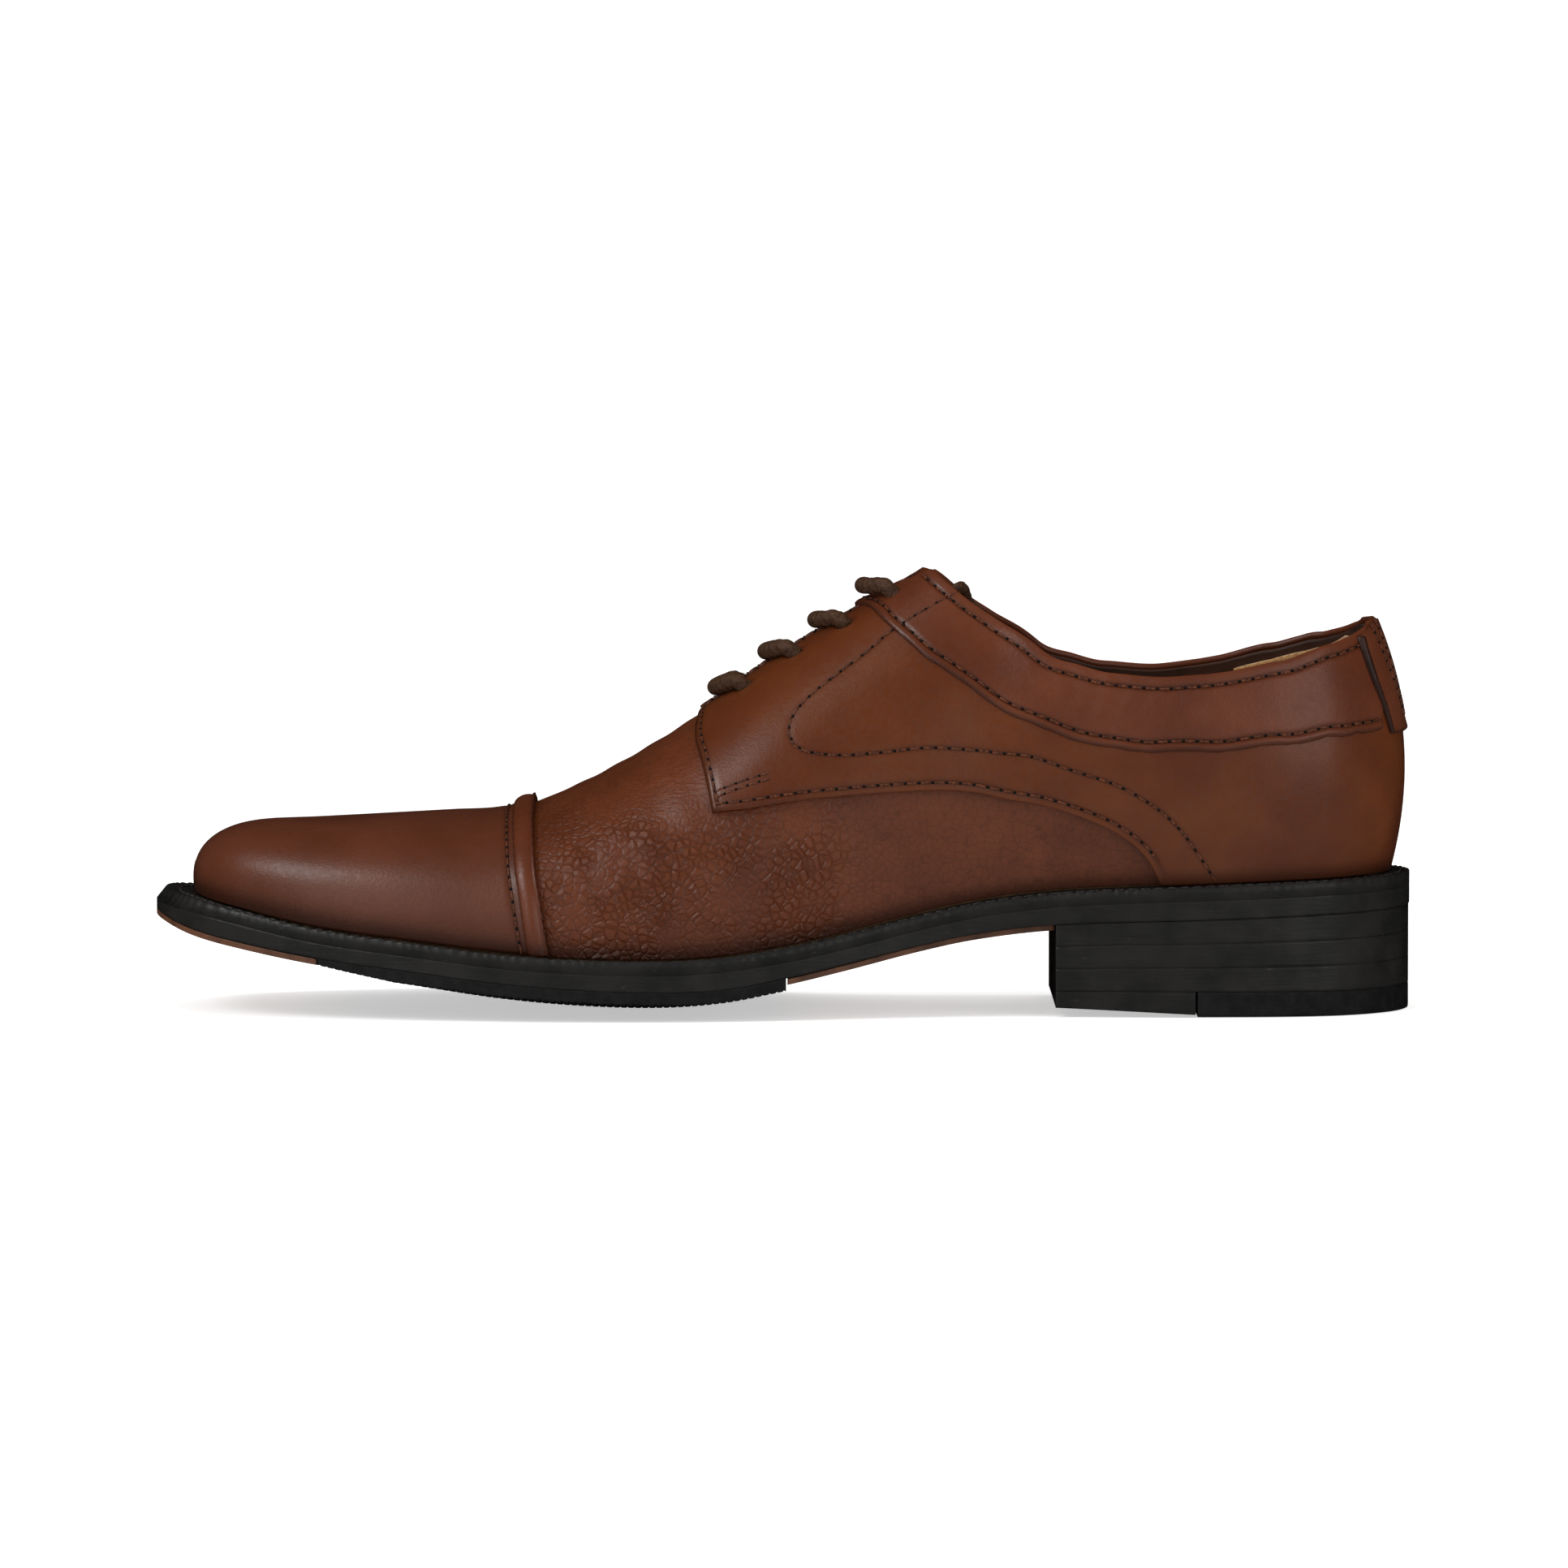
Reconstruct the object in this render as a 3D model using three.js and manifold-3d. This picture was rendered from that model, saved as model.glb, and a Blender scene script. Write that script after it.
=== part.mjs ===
// A leather derby shoe with a straight toe cap, for the left foot, built from its separate pieces.
// Millimetres. The toe points to -X, the heel to +X, the outer side to -Y and up is +Z.
// The origin is on the floor, at the middle of the box around the shoe.

import * as THREE from "three";
import { mergeVertices } from "three/addons/utils/BufferGeometryUtils.js";
import Module from "manifold-3d";

const wasm = await Module();
wasm.setup();

// Overall sizes.
const shoeLength = 303;
const shoeWidth = 105;
const upperHeight = 80; // facing top above the welt
const heelHeight = 20; // heel block at its breast
// Thicknesses.
const gap = 0.3; // clearance between touching pieces
const layerGap = 0.9; // clearance between layers of leather, with the cement and the skived edges
const bandGap = 0.8; // clearance under the bands
const leather = 1.1; // upper leather
const lining = 1;
const band = 0.9; // collar and toe cap bands
const weltThickness = 3.4;
const treadThickness = 2.9;
const panelThickness = 1.5; // brown leather under the waist and the toe tip
const insoleThickness = 2.5;
const sockThickness = 1;
const topPieceThickness = 6;
// Widths.
const weltInner = 4; // how far the welt reaches in under the upper
const capBandWidth = 5;
const shankWidth = 13;
// Lacing.
const laceDiameter = 3.4;
const eyeletHole = laceDiameter + 1.9;
const eyeletRim = eyeletHole + 3.1;
const eyeletThickness = 0.9;
const tongueThickness = 2.6;
const crownHeight = 3.6; // how far the sole bulges down at the middle of the ball

// The outlines below are drawn for a shoe of these sizes and scaled to the ones above.
const kx = shoeLength / 303;
const ky = shoeWidth / 105;
const kz = upperHeight / 80;
const kh = heelHeight / 20;

const { clamp, lerp } = THREE.MathUtils;
const shoe = new THREE.Group();

function addMesh(name, geometry, color, roughness, metalness = 0) {
  const material = new THREE.MeshStandardMaterial({ color, roughness, metalness });
  const mesh = new THREE.Mesh(geometry, material);
  mesh.name = name;
  shoe.add(mesh);
  return mesh;
}

// ---- Curves ----------------------------------------------------------------

function hermite(a, b, slopeA, slopeB, width, s) {
  const s2 = s * s;
  const s3 = s2 * s;
  return (2 * s3 - 3 * s2 + 1) * a + (s3 - 2 * s2 + s) * width * slopeA
    + (3 * s2 - 2 * s3) * b + (s3 - s2) * width * slopeB;
}

// A smooth function of x through [x, value] points.
function graph(points) {
  const last = points.length - 1;
  const slopes = points.map((p, i) => {
    const a = points[Math.max(i - 1, 0)];
    const b = points[Math.min(i + 1, last)];
    return (b[1] - a[1]) / (b[0] - a[0]);
  });
  return (x) => {
    let i = 0;
    while (i < last - 1 && x > points[i + 1][0]) i++;
    const width = points[i + 1][0] - points[i][0];
    const s = clamp((x - points[i][0]) / width, 0, 1);
    return hermite(points[i][1], points[i + 1][1], slopes[i], slopes[i + 1], width, s);
  };
}

// A smooth plane curve through points, read by its share of the chord length.
function route(points, closed = false) {
  const list = closed ? [...points, points[0]] : points;
  const last = list.length - 1;
  const knots = [0];
  for (let i = 1; i <= last; i++) {
    knots.push(knots[i - 1] + Math.hypot(list[i][0] - list[i - 1][0], list[i][1] - list[i - 1][1]));
  }
  const slopes = list.map((p, i) => {
    let before = i - 1;
    let after = i + 1;
    let span = 0;
    if (before < 0) {
      before = closed ? last - 1 : 0;
      span = closed ? knots[last] : 0;
    }
    if (after > last) {
      after = closed ? 1 : last;
      span = closed ? knots[last] : 0;
    }
    const width = knots[after] - knots[before] + span;
    return [0, 1].map((k) => (list[after][k] - list[before][k]) / width);
  });
  return (s) => {
    const at = clamp(s, 0, 1) * knots[last];
    let i = 0;
    while (i < last - 1 && at > knots[i + 1]) i++;
    const width = knots[i + 1] - knots[i];
    const f = (at - knots[i]) / width;
    return [0, 1].map((k) => hermite(list[i][k], list[i + 1][k], slopes[i][k], slopes[i + 1][k], width, f));
  };
}

function bisect(low, high, isLow) {
  for (let i = 0; i < 34; i++) {
    const middle = (low + high) / 2;
    if (isLow(middle)) low = middle;
    else high = middle;
  }
  return (low + high) / 2;
}

// ---- The last: heights, outline and the surface that the upper follows -------

const scaleX = (points) => points.map(([x, v]) => [x * kx, v]);
// Lowest edge of the outsole, which the heel height lifts behind the ball.
const lift = graph(scaleX([[-40, 0], [-10, 0], [60, 1], [152, 1]]));
const outsoleLow = graph(scaleX([[-152, 24.6], [-142, 21.2], [-129.5, 18.6], [-110, 15.2], [-88, 12.2],
  [-68, 9.4], [-50, 7.8], [-30, 7.1], [-14, 7.9], [0, 10.4], [14.5, 13.6], [30, 17], [46, 20], [65, 22],
  [100, 23.2], [152, 25.2]]));
const outsoleBottom = (x) => outsoleLow(x) + lift(x) * 20 * (kh - 1);
const soleStack = graph(scaleX([[-152, 5.4], [-140, 7.4], [-110, 6.9], [-60, 7], [-14, 7.6], [10, 7],
  [40, 7.2], [100, 7.9], [152, 7.9]]));
const crown = graph(scaleX([[-152, 0.1], [-110, 0.7], [-70, 1], [-30, 1], [0, 0.6], [45, 0], [152, 0]]));
const drop = (x, y) => crownHeight * crown(x) * Math.max(0, 1 - (y / (52 * ky)) ** 2);
const weltTop = (x) => outsoleBottom(x) + soleStack(x);

const plan = ([x, y]) => [x * kx, y * ky];
const lateralPlan = [[-142.5, 1], [-140, -13], [-131.5, -24.5], [-112, -35], [-80, -43.5], [-45, -47.5],
  [-10, -45], [30, -37], [65, -33], [100, -33.5], [128, -29], [142, -17], [146.6, 0]].map(plan);
const medialPlan = [[-140.5, 14], [-132.5, 26], [-112, 37], [-82, 45.5], [-52, 46.8], [-20, 40.5], [20, 29.5],
  [60, 28.5], [100, 32], [128, 28], [142, 16.5]].map(plan);
const loop = [...lateralPlan, ...[...medialPlan].reverse()];
const chord = (points) => points.slice(1).reduce((sum, p, i) => {
  return sum + Math.hypot(p[0] - points[i][0], p[1] - points[i][1]);
}, 0);
const lateralShare = chord(lateralPlan) / chord([...loop, loop[0]]);
const loopRoute = route(loop, true);

// The feather edge: q runs from the toe (0) to the heel, at 1 round the outer side and -1 round the inner.
function outline(q) {
  if (q >= 0) return loopRoute(q * lateralShare);
  return loopRoute(1 + q * (1 - lateralShare));
}

function outlineOut(q, distance) {
  const step = 0.004;
  const wrap = (value) => (value > 1 ? value - 2 : value < -1 ? value + 2 : value);
  const a = outline(wrap(q - step));
  const b = outline(wrap(q + step));
  const length = Math.hypot(b[0] - a[0], b[1] - a[1]);
  const [x, y] = outline(q);
  return [x + ((a[1] - b[1]) / length) * -distance, y + ((b[0] - a[0]) / length) * -distance];
}

const toePole = -118 * kx;
const heelPole = 118 * kx;
const softness = 8;
const softPlus = (x) => softness * Math.log1p(Math.exp(x / softness));

function spinePoint(x) {
  const front = toePole + softPlus(x - toePole);
  return heelPole - softPlus(heelPole - front);
}

const spineHeight = graph(scaleX([[-118, 21.6], [-107, 24], [-88, 27.6], [-80, 29.2], [-68, 31.6],
  [-60, 35], [-48, 41], [-36, 47.8], [-20, 57.4], [-7, 65.2], [4, 70.5], [15, 75], [27, 79.6], [35, 83.3],
  [50, 91.8], [61, 104.6], [78, 115], [100, 119], [118, 118]].map(([x, v]) => [x, v * kz])));
const squareness = graph(scaleX([[-142, 2.8], [-90, 2.6], [-50, 2.3], [-10, 2.4], [30, 2.4], [55, 2.1],
  [90, 2.4], [147, 3]]));
const bulge = graph(scaleX([[-142, 0.5], [-80, 1], [-20, 2], [40, 3.4], [147, 3.4]]));
const bulgeHeight = graph(scaleX([[-142, 0.5], [20, 0.48], [50, 0.32], [80, 0.25], [147, 0.22]]));

// A point of the last on the meridian q, at h from the feather edge (0) to the ridge (1).
function lastPoint(q, h) {
  const [x, y] = outline(q);
  const top = spinePoint(x);
  const low = weltTop(x) - drop(x, y) + gap;
  const high = weltTop(top) + spineHeight(top);
  const angle = (h * Math.PI) / 2;
  const n = squareness(x);
  const c = Math.cos(angle);
  const s = Math.sin(angle);
  const radius = (Math.abs(c) ** n + Math.abs(s) ** n) ** (-1 / n);
  const b = radius * s;
  const out = bulge(x) * (1 - ((b - bulgeHeight(x)) / bulgeHeight(x)) ** 2) * (1 - Math.abs(b) ** 6);
  const share = radius * c + out / Math.hypot(x - top, y);
  return new THREE.Vector3(top + (x - top) * share, y * share, low + b * (high - low));
}

// The same place on the flat pattern, which is the outline with the ridge down its middle.
function flatten(q, h) {
  const [x, y] = outline(q);
  return [lerp(x, spinePoint(x), h), y * (1 - h)];
}

function unflatten([x, y]) {
  const side = y > 0 ? -1 : 1;
  const py = Math.abs(y) < 1e-6 ? -1e-6 * side : y;
  const q = bisect(0, 1, (value) => {
    const [fx, fy] = outline(side * value);
    const top = spinePoint(fx);
    return side * ((fx - top) * py - fy * (x - top)) > 0;
  });
  const [fx, fy] = outline(side * q);
  const top = spinePoint(fx);
  return [side * q, 1 - Math.hypot(x - top, py) / Math.hypot(fx - top, fy)];
}

// A point on the flat pattern, raised to the last and moved out along its normal.
function skin([x, y], offset) {
  const step = 0.2;
  const at = (a, b) => lastPoint(...unflatten([a, b]));
  const alongX = at(x + step, y).sub(at(x - step, y));
  const alongY = at(x, y + step).sub(at(x, y - step));
  return at(x, y).addScaledVector(alongX.cross(alongY).normalize(), offset);
}

// The flat place of a point given by its side view: x, and v above the welt.
function place(side, [x, v]) {
  const z = weltTop(x * kx) + v * kz;
  const level = (q) => bisect(0, 0.96, (h) => lastPoint(q, h).z < z);
  const q = bisect(0.001, 0.999, (value) => {
    const point = lastPoint(side * value, level(side * value));
    return point.x < x * kx;
  });
  return flatten(side * q, level(side * q));
}

// ---- Seams, as side views: x and the height above the welt --------------------

const capSeam = [[-65, 31], [-64.6, 26], [-64, 19.5], [-63, 13.5], [-62, 7], [-60.8, 0.2]];
const quarterFront = [[-17.3, 34.4], [-18.4, 40], [-20, 46.5], [-21.6, 52]];
const topline = [[37, 78.4], [42, 73.2], [49.8, 66.5], [61.6, 57.2], [70, 53.4], [78, 51],
  [92, 49.6], [106, 50.3], [120, 52.6], [132, 55.3], [141, 58.4]];
const quarterHem = [[-17.3, 34.4], [-6.7, 34.2], [9.9, 33.3], [26, 30.8], [36, 29], [46, 26.4], [56, 23],
  [67, 19.4], [75.4, 15.8], [82.7, 11.1], [87, 6.5], [90, 0.2]];
const collarHem = [[29, 77.3], [29.8, 71], [34, 60.4], [45, 50.8], [56, 42.4], [67, 37], [78, 34], [89, 32.5],
  [104, 32], [119, 33], [133, 34.3], [143, 34.9]];

// The facings run beside the ridge: x and the distance from it on the flat pattern.
const facing = [[-20.6, 2.4], [-7, 2.8], [7, 3.2], [20, 3.8], [33, 4.6]];
const eyeletPlaces = [[-9.5, 8.4], [2.5, 8.2], [14.5, 8.2], [26.5, 8.2]];
const onFlat = (side, points) => points.map(([x, y]) => [x * kx, -side * y * ky]);

const drawn = (side, points) => route(points.map((point) => place(side, point)));
// A line round the back of the heel from the outer side (0) to the inner (1), at one height.
const heelFlat = (q, v) => {
  const x = outline(q)[0];
  const z = weltTop(x) + v * kz;
  return flatten(q, bisect(0, 0.96, (h) => lastPoint(q, h).z < z));
};
const backSeam = (side, v) => (s) => heelFlat(side * 0.9985, lerp(v[0], v[1], s));

// A patch between four flat curves: bottom and top run along u, left and right run along v. With more reach,
// the bends of left and right fade faster into the patch, which keeps a long one from folding over.
function patch(bottom, top, left, right, reach = 1) {
  const corners = [bottom(0), bottom(1), top(0), top(1)];
  return (u, v) => {
    const [b, t, l, r] = [bottom(u), top(u), left(v), right(v)];
    const near = (1 - u) ** reach;
    const far = u ** reach;
    return [0, 1].map((k) => lerp(b[k], t[k], v) + near * (l[k] - lerp(corners[0][k], corners[2][k], v))
      + far * (r[k] - lerp(corners[1][k], corners[3][k], v)));
  };
}

// The part of a patch between shares of its two directions.
const inset = (map, u0, u1, v0, v1) => (u, v) => map(lerp(u0, u1, u), lerp(v0, v1, v));

// ---- Solids ------------------------------------------------------------------

function volume(geometry) {
  const position = geometry.attributes.position;
  const [a, b, c] = [new THREE.Vector3(), new THREE.Vector3(), new THREE.Vector3()];
  let sum = 0;
  for (let i = 0; i < geometry.index.count; i += 3) {
    a.fromBufferAttribute(position, geometry.index.getX(i));
    b.fromBufferAttribute(position, geometry.index.getX(i + 1));
    c.fromBufferAttribute(position, geometry.index.getX(i + 2));
    sum += a.dot(b.cross(c));
  }
  return sum;
}

// Moves every vertex by a function, merges the seams and turns the faces outwards.
function shape(geometry, move) {
  geometry.deleteAttribute("normal");
  geometry.deleteAttribute("uv");
  const position = geometry.attributes.position;
  const point = new THREE.Vector3();
  for (let i = 0; i < position.count; i++) {
    const moved = move(point.fromBufferAttribute(position, i));
    position.setXYZ(i, moved.x, moved.y, moved.z);
  }
  const merged = mergeVertices(geometry, 1e-4);
  if (volume(merged) < 0) merged.setIndex([...merged.index.array].reverse());
  return merged;
}

function plate(nu, nv, point) {
  return shape(new THREE.BoxGeometry(1, 1, 1, nu, nv, 1), (p) => point(p.x + 0.5, p.y + 0.5, p.z + 0.5));
}

function panel(map, inner, outer, nu, nv) {
  return plate(nu, nv, (u, v, w) => skin(map(u, v), lerp(inner, outer, w)));
}

function ring(steps, point) {
  const profile = [[1, 0], [2, 0], [2, 1], [1, 1], [1, 0]].map(([x, y]) => new THREE.Vector2(x, y));
  return shape(new THREE.LatheGeometry(profile, steps), (p) => {
    const turn = Math.atan2(p.x, p.z) / Math.PI;
    return point(turn, Math.hypot(p.x, p.z) - 1, p.y);
  });
}

function toManifold(geometry) {
  return new wasm.Manifold(new wasm.Mesh({
    numProp: 3,
    vertProperties: new Float32Array(geometry.attributes.position.array),
    triVerts: new Uint32Array(geometry.index.array),
  }));
}

function fromManifold(solid) {
  const { vertProperties, triVerts } = solid.getMesh();
  const geometry = new THREE.BufferGeometry();
  geometry.setAttribute("position", new THREE.BufferAttribute(vertProperties, 3));
  geometry.setIndex(new THREE.BufferAttribute(triVerts, 1));
  return geometry;
}

// ---- Sole --------------------------------------------------------------------

const flare = graph(scaleX([[-152, 2.6], [-138, 2], [-122, 0.4], [-110, 0], [152, 0]]));
const marginAt = graph(scaleX([[-143, 6.9], [-120, 5.4], [-60, 4.6], [0, 4], [40, 2.6], [80, 3.4], [130, 4.5],
  [147, 4.5]]));
const margin = (q) => marginAt(outline(q)[0]);

// A plate of the sole between two stations, with an edge moved in or out from the welt's.
function solePlate(front, back, moved, bottom, top, nu, nv) {
  const edge = (q) => outlineOut(q, moved(q));
  const station = (side, x) => side * bisect(0, 1, (q) => edge(side * q)[0] < x);
  const around = 0.05;
  const [qa, qc] = front === null ? [around, -around] : [station(1, front), station(-1, front)];
  const [qb, qd] = back === null ? [1 - around, around - 1] : [station(1, back), station(-1, back)];
  const nose = (v) => {
    if (front === null) return edge(lerp(qa, qc, v));
    return edge(qa).map((k, i) => lerp(k, edge(qc)[i], v));
  };
  const tail = (v) => {
    if (back !== null) return edge(qb).map((k, i) => lerp(k, edge(qd)[i], v));
    const q = lerp(qb, 2 + qd, v);
    return edge(q > 1 ? q - 2 : q);
  };
  const map = patch((u) => edge(lerp(qa, qb, u)), (u) => edge(lerp(qc, qd, u)), nose, tail);
  return plate(nu, nv, (u, v, w) => {
    const [x, y] = map(u, v);
    return new THREE.Vector3(x, y, lerp(bottom(x), top(x), w) - drop(x, y));
  });
}

const black = 0x22211f;
const brown = 0x673c28;
const tan = 0xa8865a;
const darkLining = 0x3c2a20;

const breast = 64.8 * kx;
const treadFront = -111 * kx;
const treadBack = 0.5 * kx;
const split = 98.6 * kx;
const outerEdge = (q) => margin(q) + flare(outline(q)[0]);
const weltLow = (x) => weltTop(x) - weltThickness;

addMesh("welt", ring(48, (turn, out, up) => {
  const [x, y] = outlineOut(turn, lerp(-weltInner, margin(turn) + flare(outline(turn)[0]) * (1 - up), out));
  return new THREE.Vector3(x, y, lerp(weltLow(x), weltTop(x), up) - drop(x, y));
}), black, 0.5);
addMesh("outsole", solePlate(null, null, outerEdge, outsoleBottom, (x) => weltLow(x) - gap, 28, 4), black,
  0.55);

const panelTop = (x) => outsoleBottom(x) - gap;
addMesh("toe_tip_leather", solePlate(null, treadFront - gap, outerEdge, (x) => panelTop(x) - panelThickness,
  panelTop, 5, 4), 0x7a4a2c, 0.6);
const treadBottom = (x) => {
  const grown = clamp((x - treadFront) / (18 * kx), 0, 1);
  return panelTop(x) - lerp(panelThickness, treadThickness, grown);
};
addMesh("forefoot_tread", solePlate(treadFront, treadBack, outerEdge, treadBottom, panelTop, 14, 4), black,
  0.8);
addMesh("waist_leather", solePlate(treadBack + gap, breast - gap, outerEdge,
  (x) => panelTop(x) - panelThickness, panelTop, 8, 3), 0x7a4a2c, 0.6);

// Inside the welt: cork, a steel shank, the insole board and the sock liner.
const corkEdge = () => -weltInner - 3 * gap;
const shankFront = -2 * kx;
const shankBack = 96 * kx;
const fillLow = (x) => weltLow(x) + 0.2;
addMesh("cork_filler", solePlate(-134 * kx, shankFront - 2, corkEdge, fillLow, (x) => fillLow(x) + 1.6, 14,
  3), 0xa98254, 0.9);
addMesh("shank", plate(10, 1, (u, v, w) => {
  const x = lerp(shankFront, shankBack, u);
  return new THREE.Vector3(x, (v - 0.5) * shankWidth, lerp(fillLow(x), fillLow(x) + 1.6, w) - drop(x, 0));
}), 0x8d8f92, 0.4, 0.9);
const layers = 2 * layerGap + 2 * leather + lining; // all that lies between the outside and the foot space
const insoleLow = (x) => weltTop(x) - weltThickness + 2 + gap;
const insoleEdge = () => -layers - 0.5;
const insoleTop = (x) => insoleLow(x) + insoleThickness;
addMesh("insole_board", solePlate(null, null, insoleEdge, insoleLow, insoleTop, 24, 3), 0xb08a62, 0.8);
const sockLow = (x) => insoleTop(x) + gap;
const sockTop = (x) => sockLow(x) + sockThickness;
addMesh("sock_liner", solePlate(null, null, insoleEdge, sockLow, sockTop, 24, 3),
  darkLining, 0.7);

// The heel: three leather lifts and a two-part top piece.
const heelEdge = (share) => (q) => margin(q) - 0.9 * (1 - share);
const heelTop = (x) => outsoleBottom(x) - gap;
const topPieceTop = topPieceThickness;
const liftLow = topPieceTop + gap;
const liftCount = 3;
for (let i = 0; i < liftCount; i++) {
  const level = (share) => (x) => lerp(liftLow, heelTop(x) + gap, share);
  const low = level(i / liftCount);
  const high = level((i + 1) / liftCount);
  addMesh(`heel_lift_${i + 1}`, solePlate(breast, null, heelEdge(0.7), low, (x) => high(x) - gap, 8, 5),
    black, 0.5);
}
const heelRise = (x) => 0.5 + 1.6 * clamp((split - x) / (split - breast), 0, 1);
addMesh("top_piece_front", solePlate(breast, split - 0.8, heelEdge(0.6), heelRise, () => topPieceTop, 3, 3),
  black, 0.6);
addMesh("top_piece_rear", solePlate(split, null, heelEdge(0.6), () => 0, () => topPieceTop, 5, 5), black,
  0.8);

// ---- Upper -------------------------------------------------------------------

// Layers by their distance from the outside of the main leather.
const outerLayer = [-leather, 0];
const underLayer = [-2 * leather - layerGap, -leather - layerGap];
const liningLayer = [underLayer[0] - layerGap - lining, underLayer[0] - layerGap];
const bandLayer = [bandGap, bandGap + band];

const featherLine = (from, to) => (s) => flatten(lerp(from, to, s), 0);
const seamStart = (side, x) => side * bisect(0, 1, (q) => outline(side * q)[0] < x * kx);
// A line from the outer feather edge over the ridge to the inner one.
function overLine(points, shift = 0) {
  const moved = points.map(([x, v]) => [x + shift, v]);
  const outer = moved.map((point) => place(1, point)).reverse();
  const inner = moved.map((point) => place(-1, point));
  const ridge = [(outer.at(-1)[0] + inner[0][0]) / 2, 0];
  return route([...outer, ridge, ...inner]);
}

function toePatch(line) {
  const [a, b] = [unflatten(line(0))[0], unflatten(line(1))[0]];
  const corner = 0.05;
  return patch((u) => flatten(lerp(a, corner, u), 0), (u) => flatten(lerp(b, -corner, u), 0), line,
    (v) => flatten(lerp(corner, -corner, v), 0));
}

const capEdge = overLine(capSeam);
const puffEdge = overLine(capSeam, -9);
addMesh("toe_cap", panel(toePatch(capEdge), ...outerLayer, 10, 13), brown, 0.35);
addMesh("toe_puff", panel(toePatch(puffEdge), ...underLayer, 8, 11), 0xb9a98c, 0.9);

const betweenLines = (a, b) => patch(a, b, (v) => lerp2(a(0), b(0), v), (v) => lerp2(a(1), b(1), v));
const lerp2 = (a, b, s) => [lerp(a[0], b[0], s), lerp(a[1], b[1], s)];
const bandFront = overLine(capSeam);
const bandBack = overLine(capSeam, capBandWidth);
addMesh("cap_band", panel(betweenLines(bandFront, bandBack), ...bandLayer, 24, 1), brown, 0.35);

// The vamp: over the foot behind the cap, with a wing under each quarter back to the heel.
const wingEnd = 93;
const vampFront = overLine(capSeam, -8);
const throat = [[-15, 56], [-13, 51], [-10, 45], [-3, 42], [10, 40], [30, 37], [46, 33], [60, 28], [72, 23],
  [82, 16], [wingEnd, 8]];
const liningHem = [[-19.5, 55.5], [-20, 50], [-19.8, 42], [-18.8, 33], [-6, 32], [10, 31], [30, 28], [46, 24],
  [60, 19.6], [73, 14], [82, 8.4]];
const acrossThroat = (points) => route([...points.map((p) => place(1, p)).reverse(),
  [points[0][0] * kx, 0], ...points.map((p) => place(-1, p))]);
const vampLine = acrossThroat(throat);
const liningLine = acrossThroat(liningHem);
const vampEnds = [seamStart(1, wingEnd), seamStart(-1, wingEnd)];
const vampStarts = [unflatten(vampFront(0))[0], unflatten(vampFront(1))[0]];
// Its outer edge runs along the outer feather line, over the toe seam and back along the inner feather line.
function vampHem(s) {
  const cuts = [0.36, 0.64];
  if (s < cuts[0]) return flatten(lerp(vampEnds[0], vampStarts[0], s / cuts[0]), 0);
  if (s > cuts[1]) return flatten(lerp(vampStarts[1], vampEnds[1], (s - cuts[1]) / (1 - cuts[1])), 0);
  return vampFront((s - cuts[0]) / (cuts[1] - cuts[0]));
}
const vampMap = betweenLines(vampHem, vampLine);
addMesh("vamp", panel(vampMap, ...underLayer, 42, 6), brown, 0.45);
addMesh("vamp_lining", panel(betweenLines((s) => vampHem(lerp(0.03, 0.97, s)), liningLine), ...liningLayer,
  30, 5), darkLining, 0.8);

function quarterMap(side, start) {
  const edge = route(onFlat(side, facing));
  const front = route([...quarterFront.map((point) => place(side, point)), edge(0)]);
  const share = 0.3;
  const left = (s) => (s < share ? front(s / share) : edge((s - share) / (1 - share)));
  const hem = drawn(side, quarterHem);
  const feather = featherLine(unflatten(hem(1))[0], side * 0.9985);
  const turn = 0.68;
  const bottom = (s) => (s < turn ? hem(s / turn) : feather((s - turn) / (1 - turn)));
  const rim = route([edge(1), ...topline.map((point) => place(side, point))]);
  const back = [unflatten(rim(1))[0], side * 0.9985];
  const rimEnd = 0.93;
  const top = (s) => {
    if (s < rimEnd) return rim(s / rimEnd);
    const f = (s - rimEnd) / (1 - rimEnd);
    return heelFlat(lerp(back[0], back[1], f), lerp(58.4, 60.6, f));
  };
  return patch(bottom, top, left, backSeam(side, [0, 60.6]), 4);
}

const rowHoles = { 1: onFlat(1, eyeletPlaces), [-1]: onFlat(-1, eyeletPlaces) };

// A round cutter or ring standing on the last at an eyelet, along its normal.
function atEyelet(side, k, geometry, offset) {
  const flat = rowHoles[side][k];
  const base = skin(flat, offset);
  const normal = skin(flat, offset + 1).sub(base);
  const turn = new THREE.Quaternion().setFromUnitVectors(new THREE.Vector3(0, 1, 0), normal.normalize());
  return shape(geometry, (p) => p.clone().applyQuaternion(turn).add(base));
}

function withHoles(side, geometry) {
  let solid = toManifold(geometry);
  for (let k = 0; k < eyeletPlaces.length; k++) {
    const cutter = new THREE.CylinderGeometry(eyeletHole / 2, eyeletHole / 2, 9, 12);
    solid = solid.subtract(toManifold(atEyelet(side, k, cutter, -2)));
  }
  // Slivers at the rims of the holes are cleaned off, and the sheet itself is the largest body left.
  const bodies = solid.simplify(0.01).decompose();
  return fromManifold(bodies.sort((a, b) => b.volume() - a.volume())[0]);
}

const stayMap = (side) => {
  const edge = route(onFlat(side, facing));
  const low = route(onFlat(side, [[-7, 15], [4, 16], [18, 17], [28, 17]]));
  const start = 0.16;
  const end = 0.97;
  return patch((u) => edge(lerp(start, end, u)), low, (v) => lerp2(edge(start), low(0), v),
    (v) => lerp2(edge(end), low(1), v));
};

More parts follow.
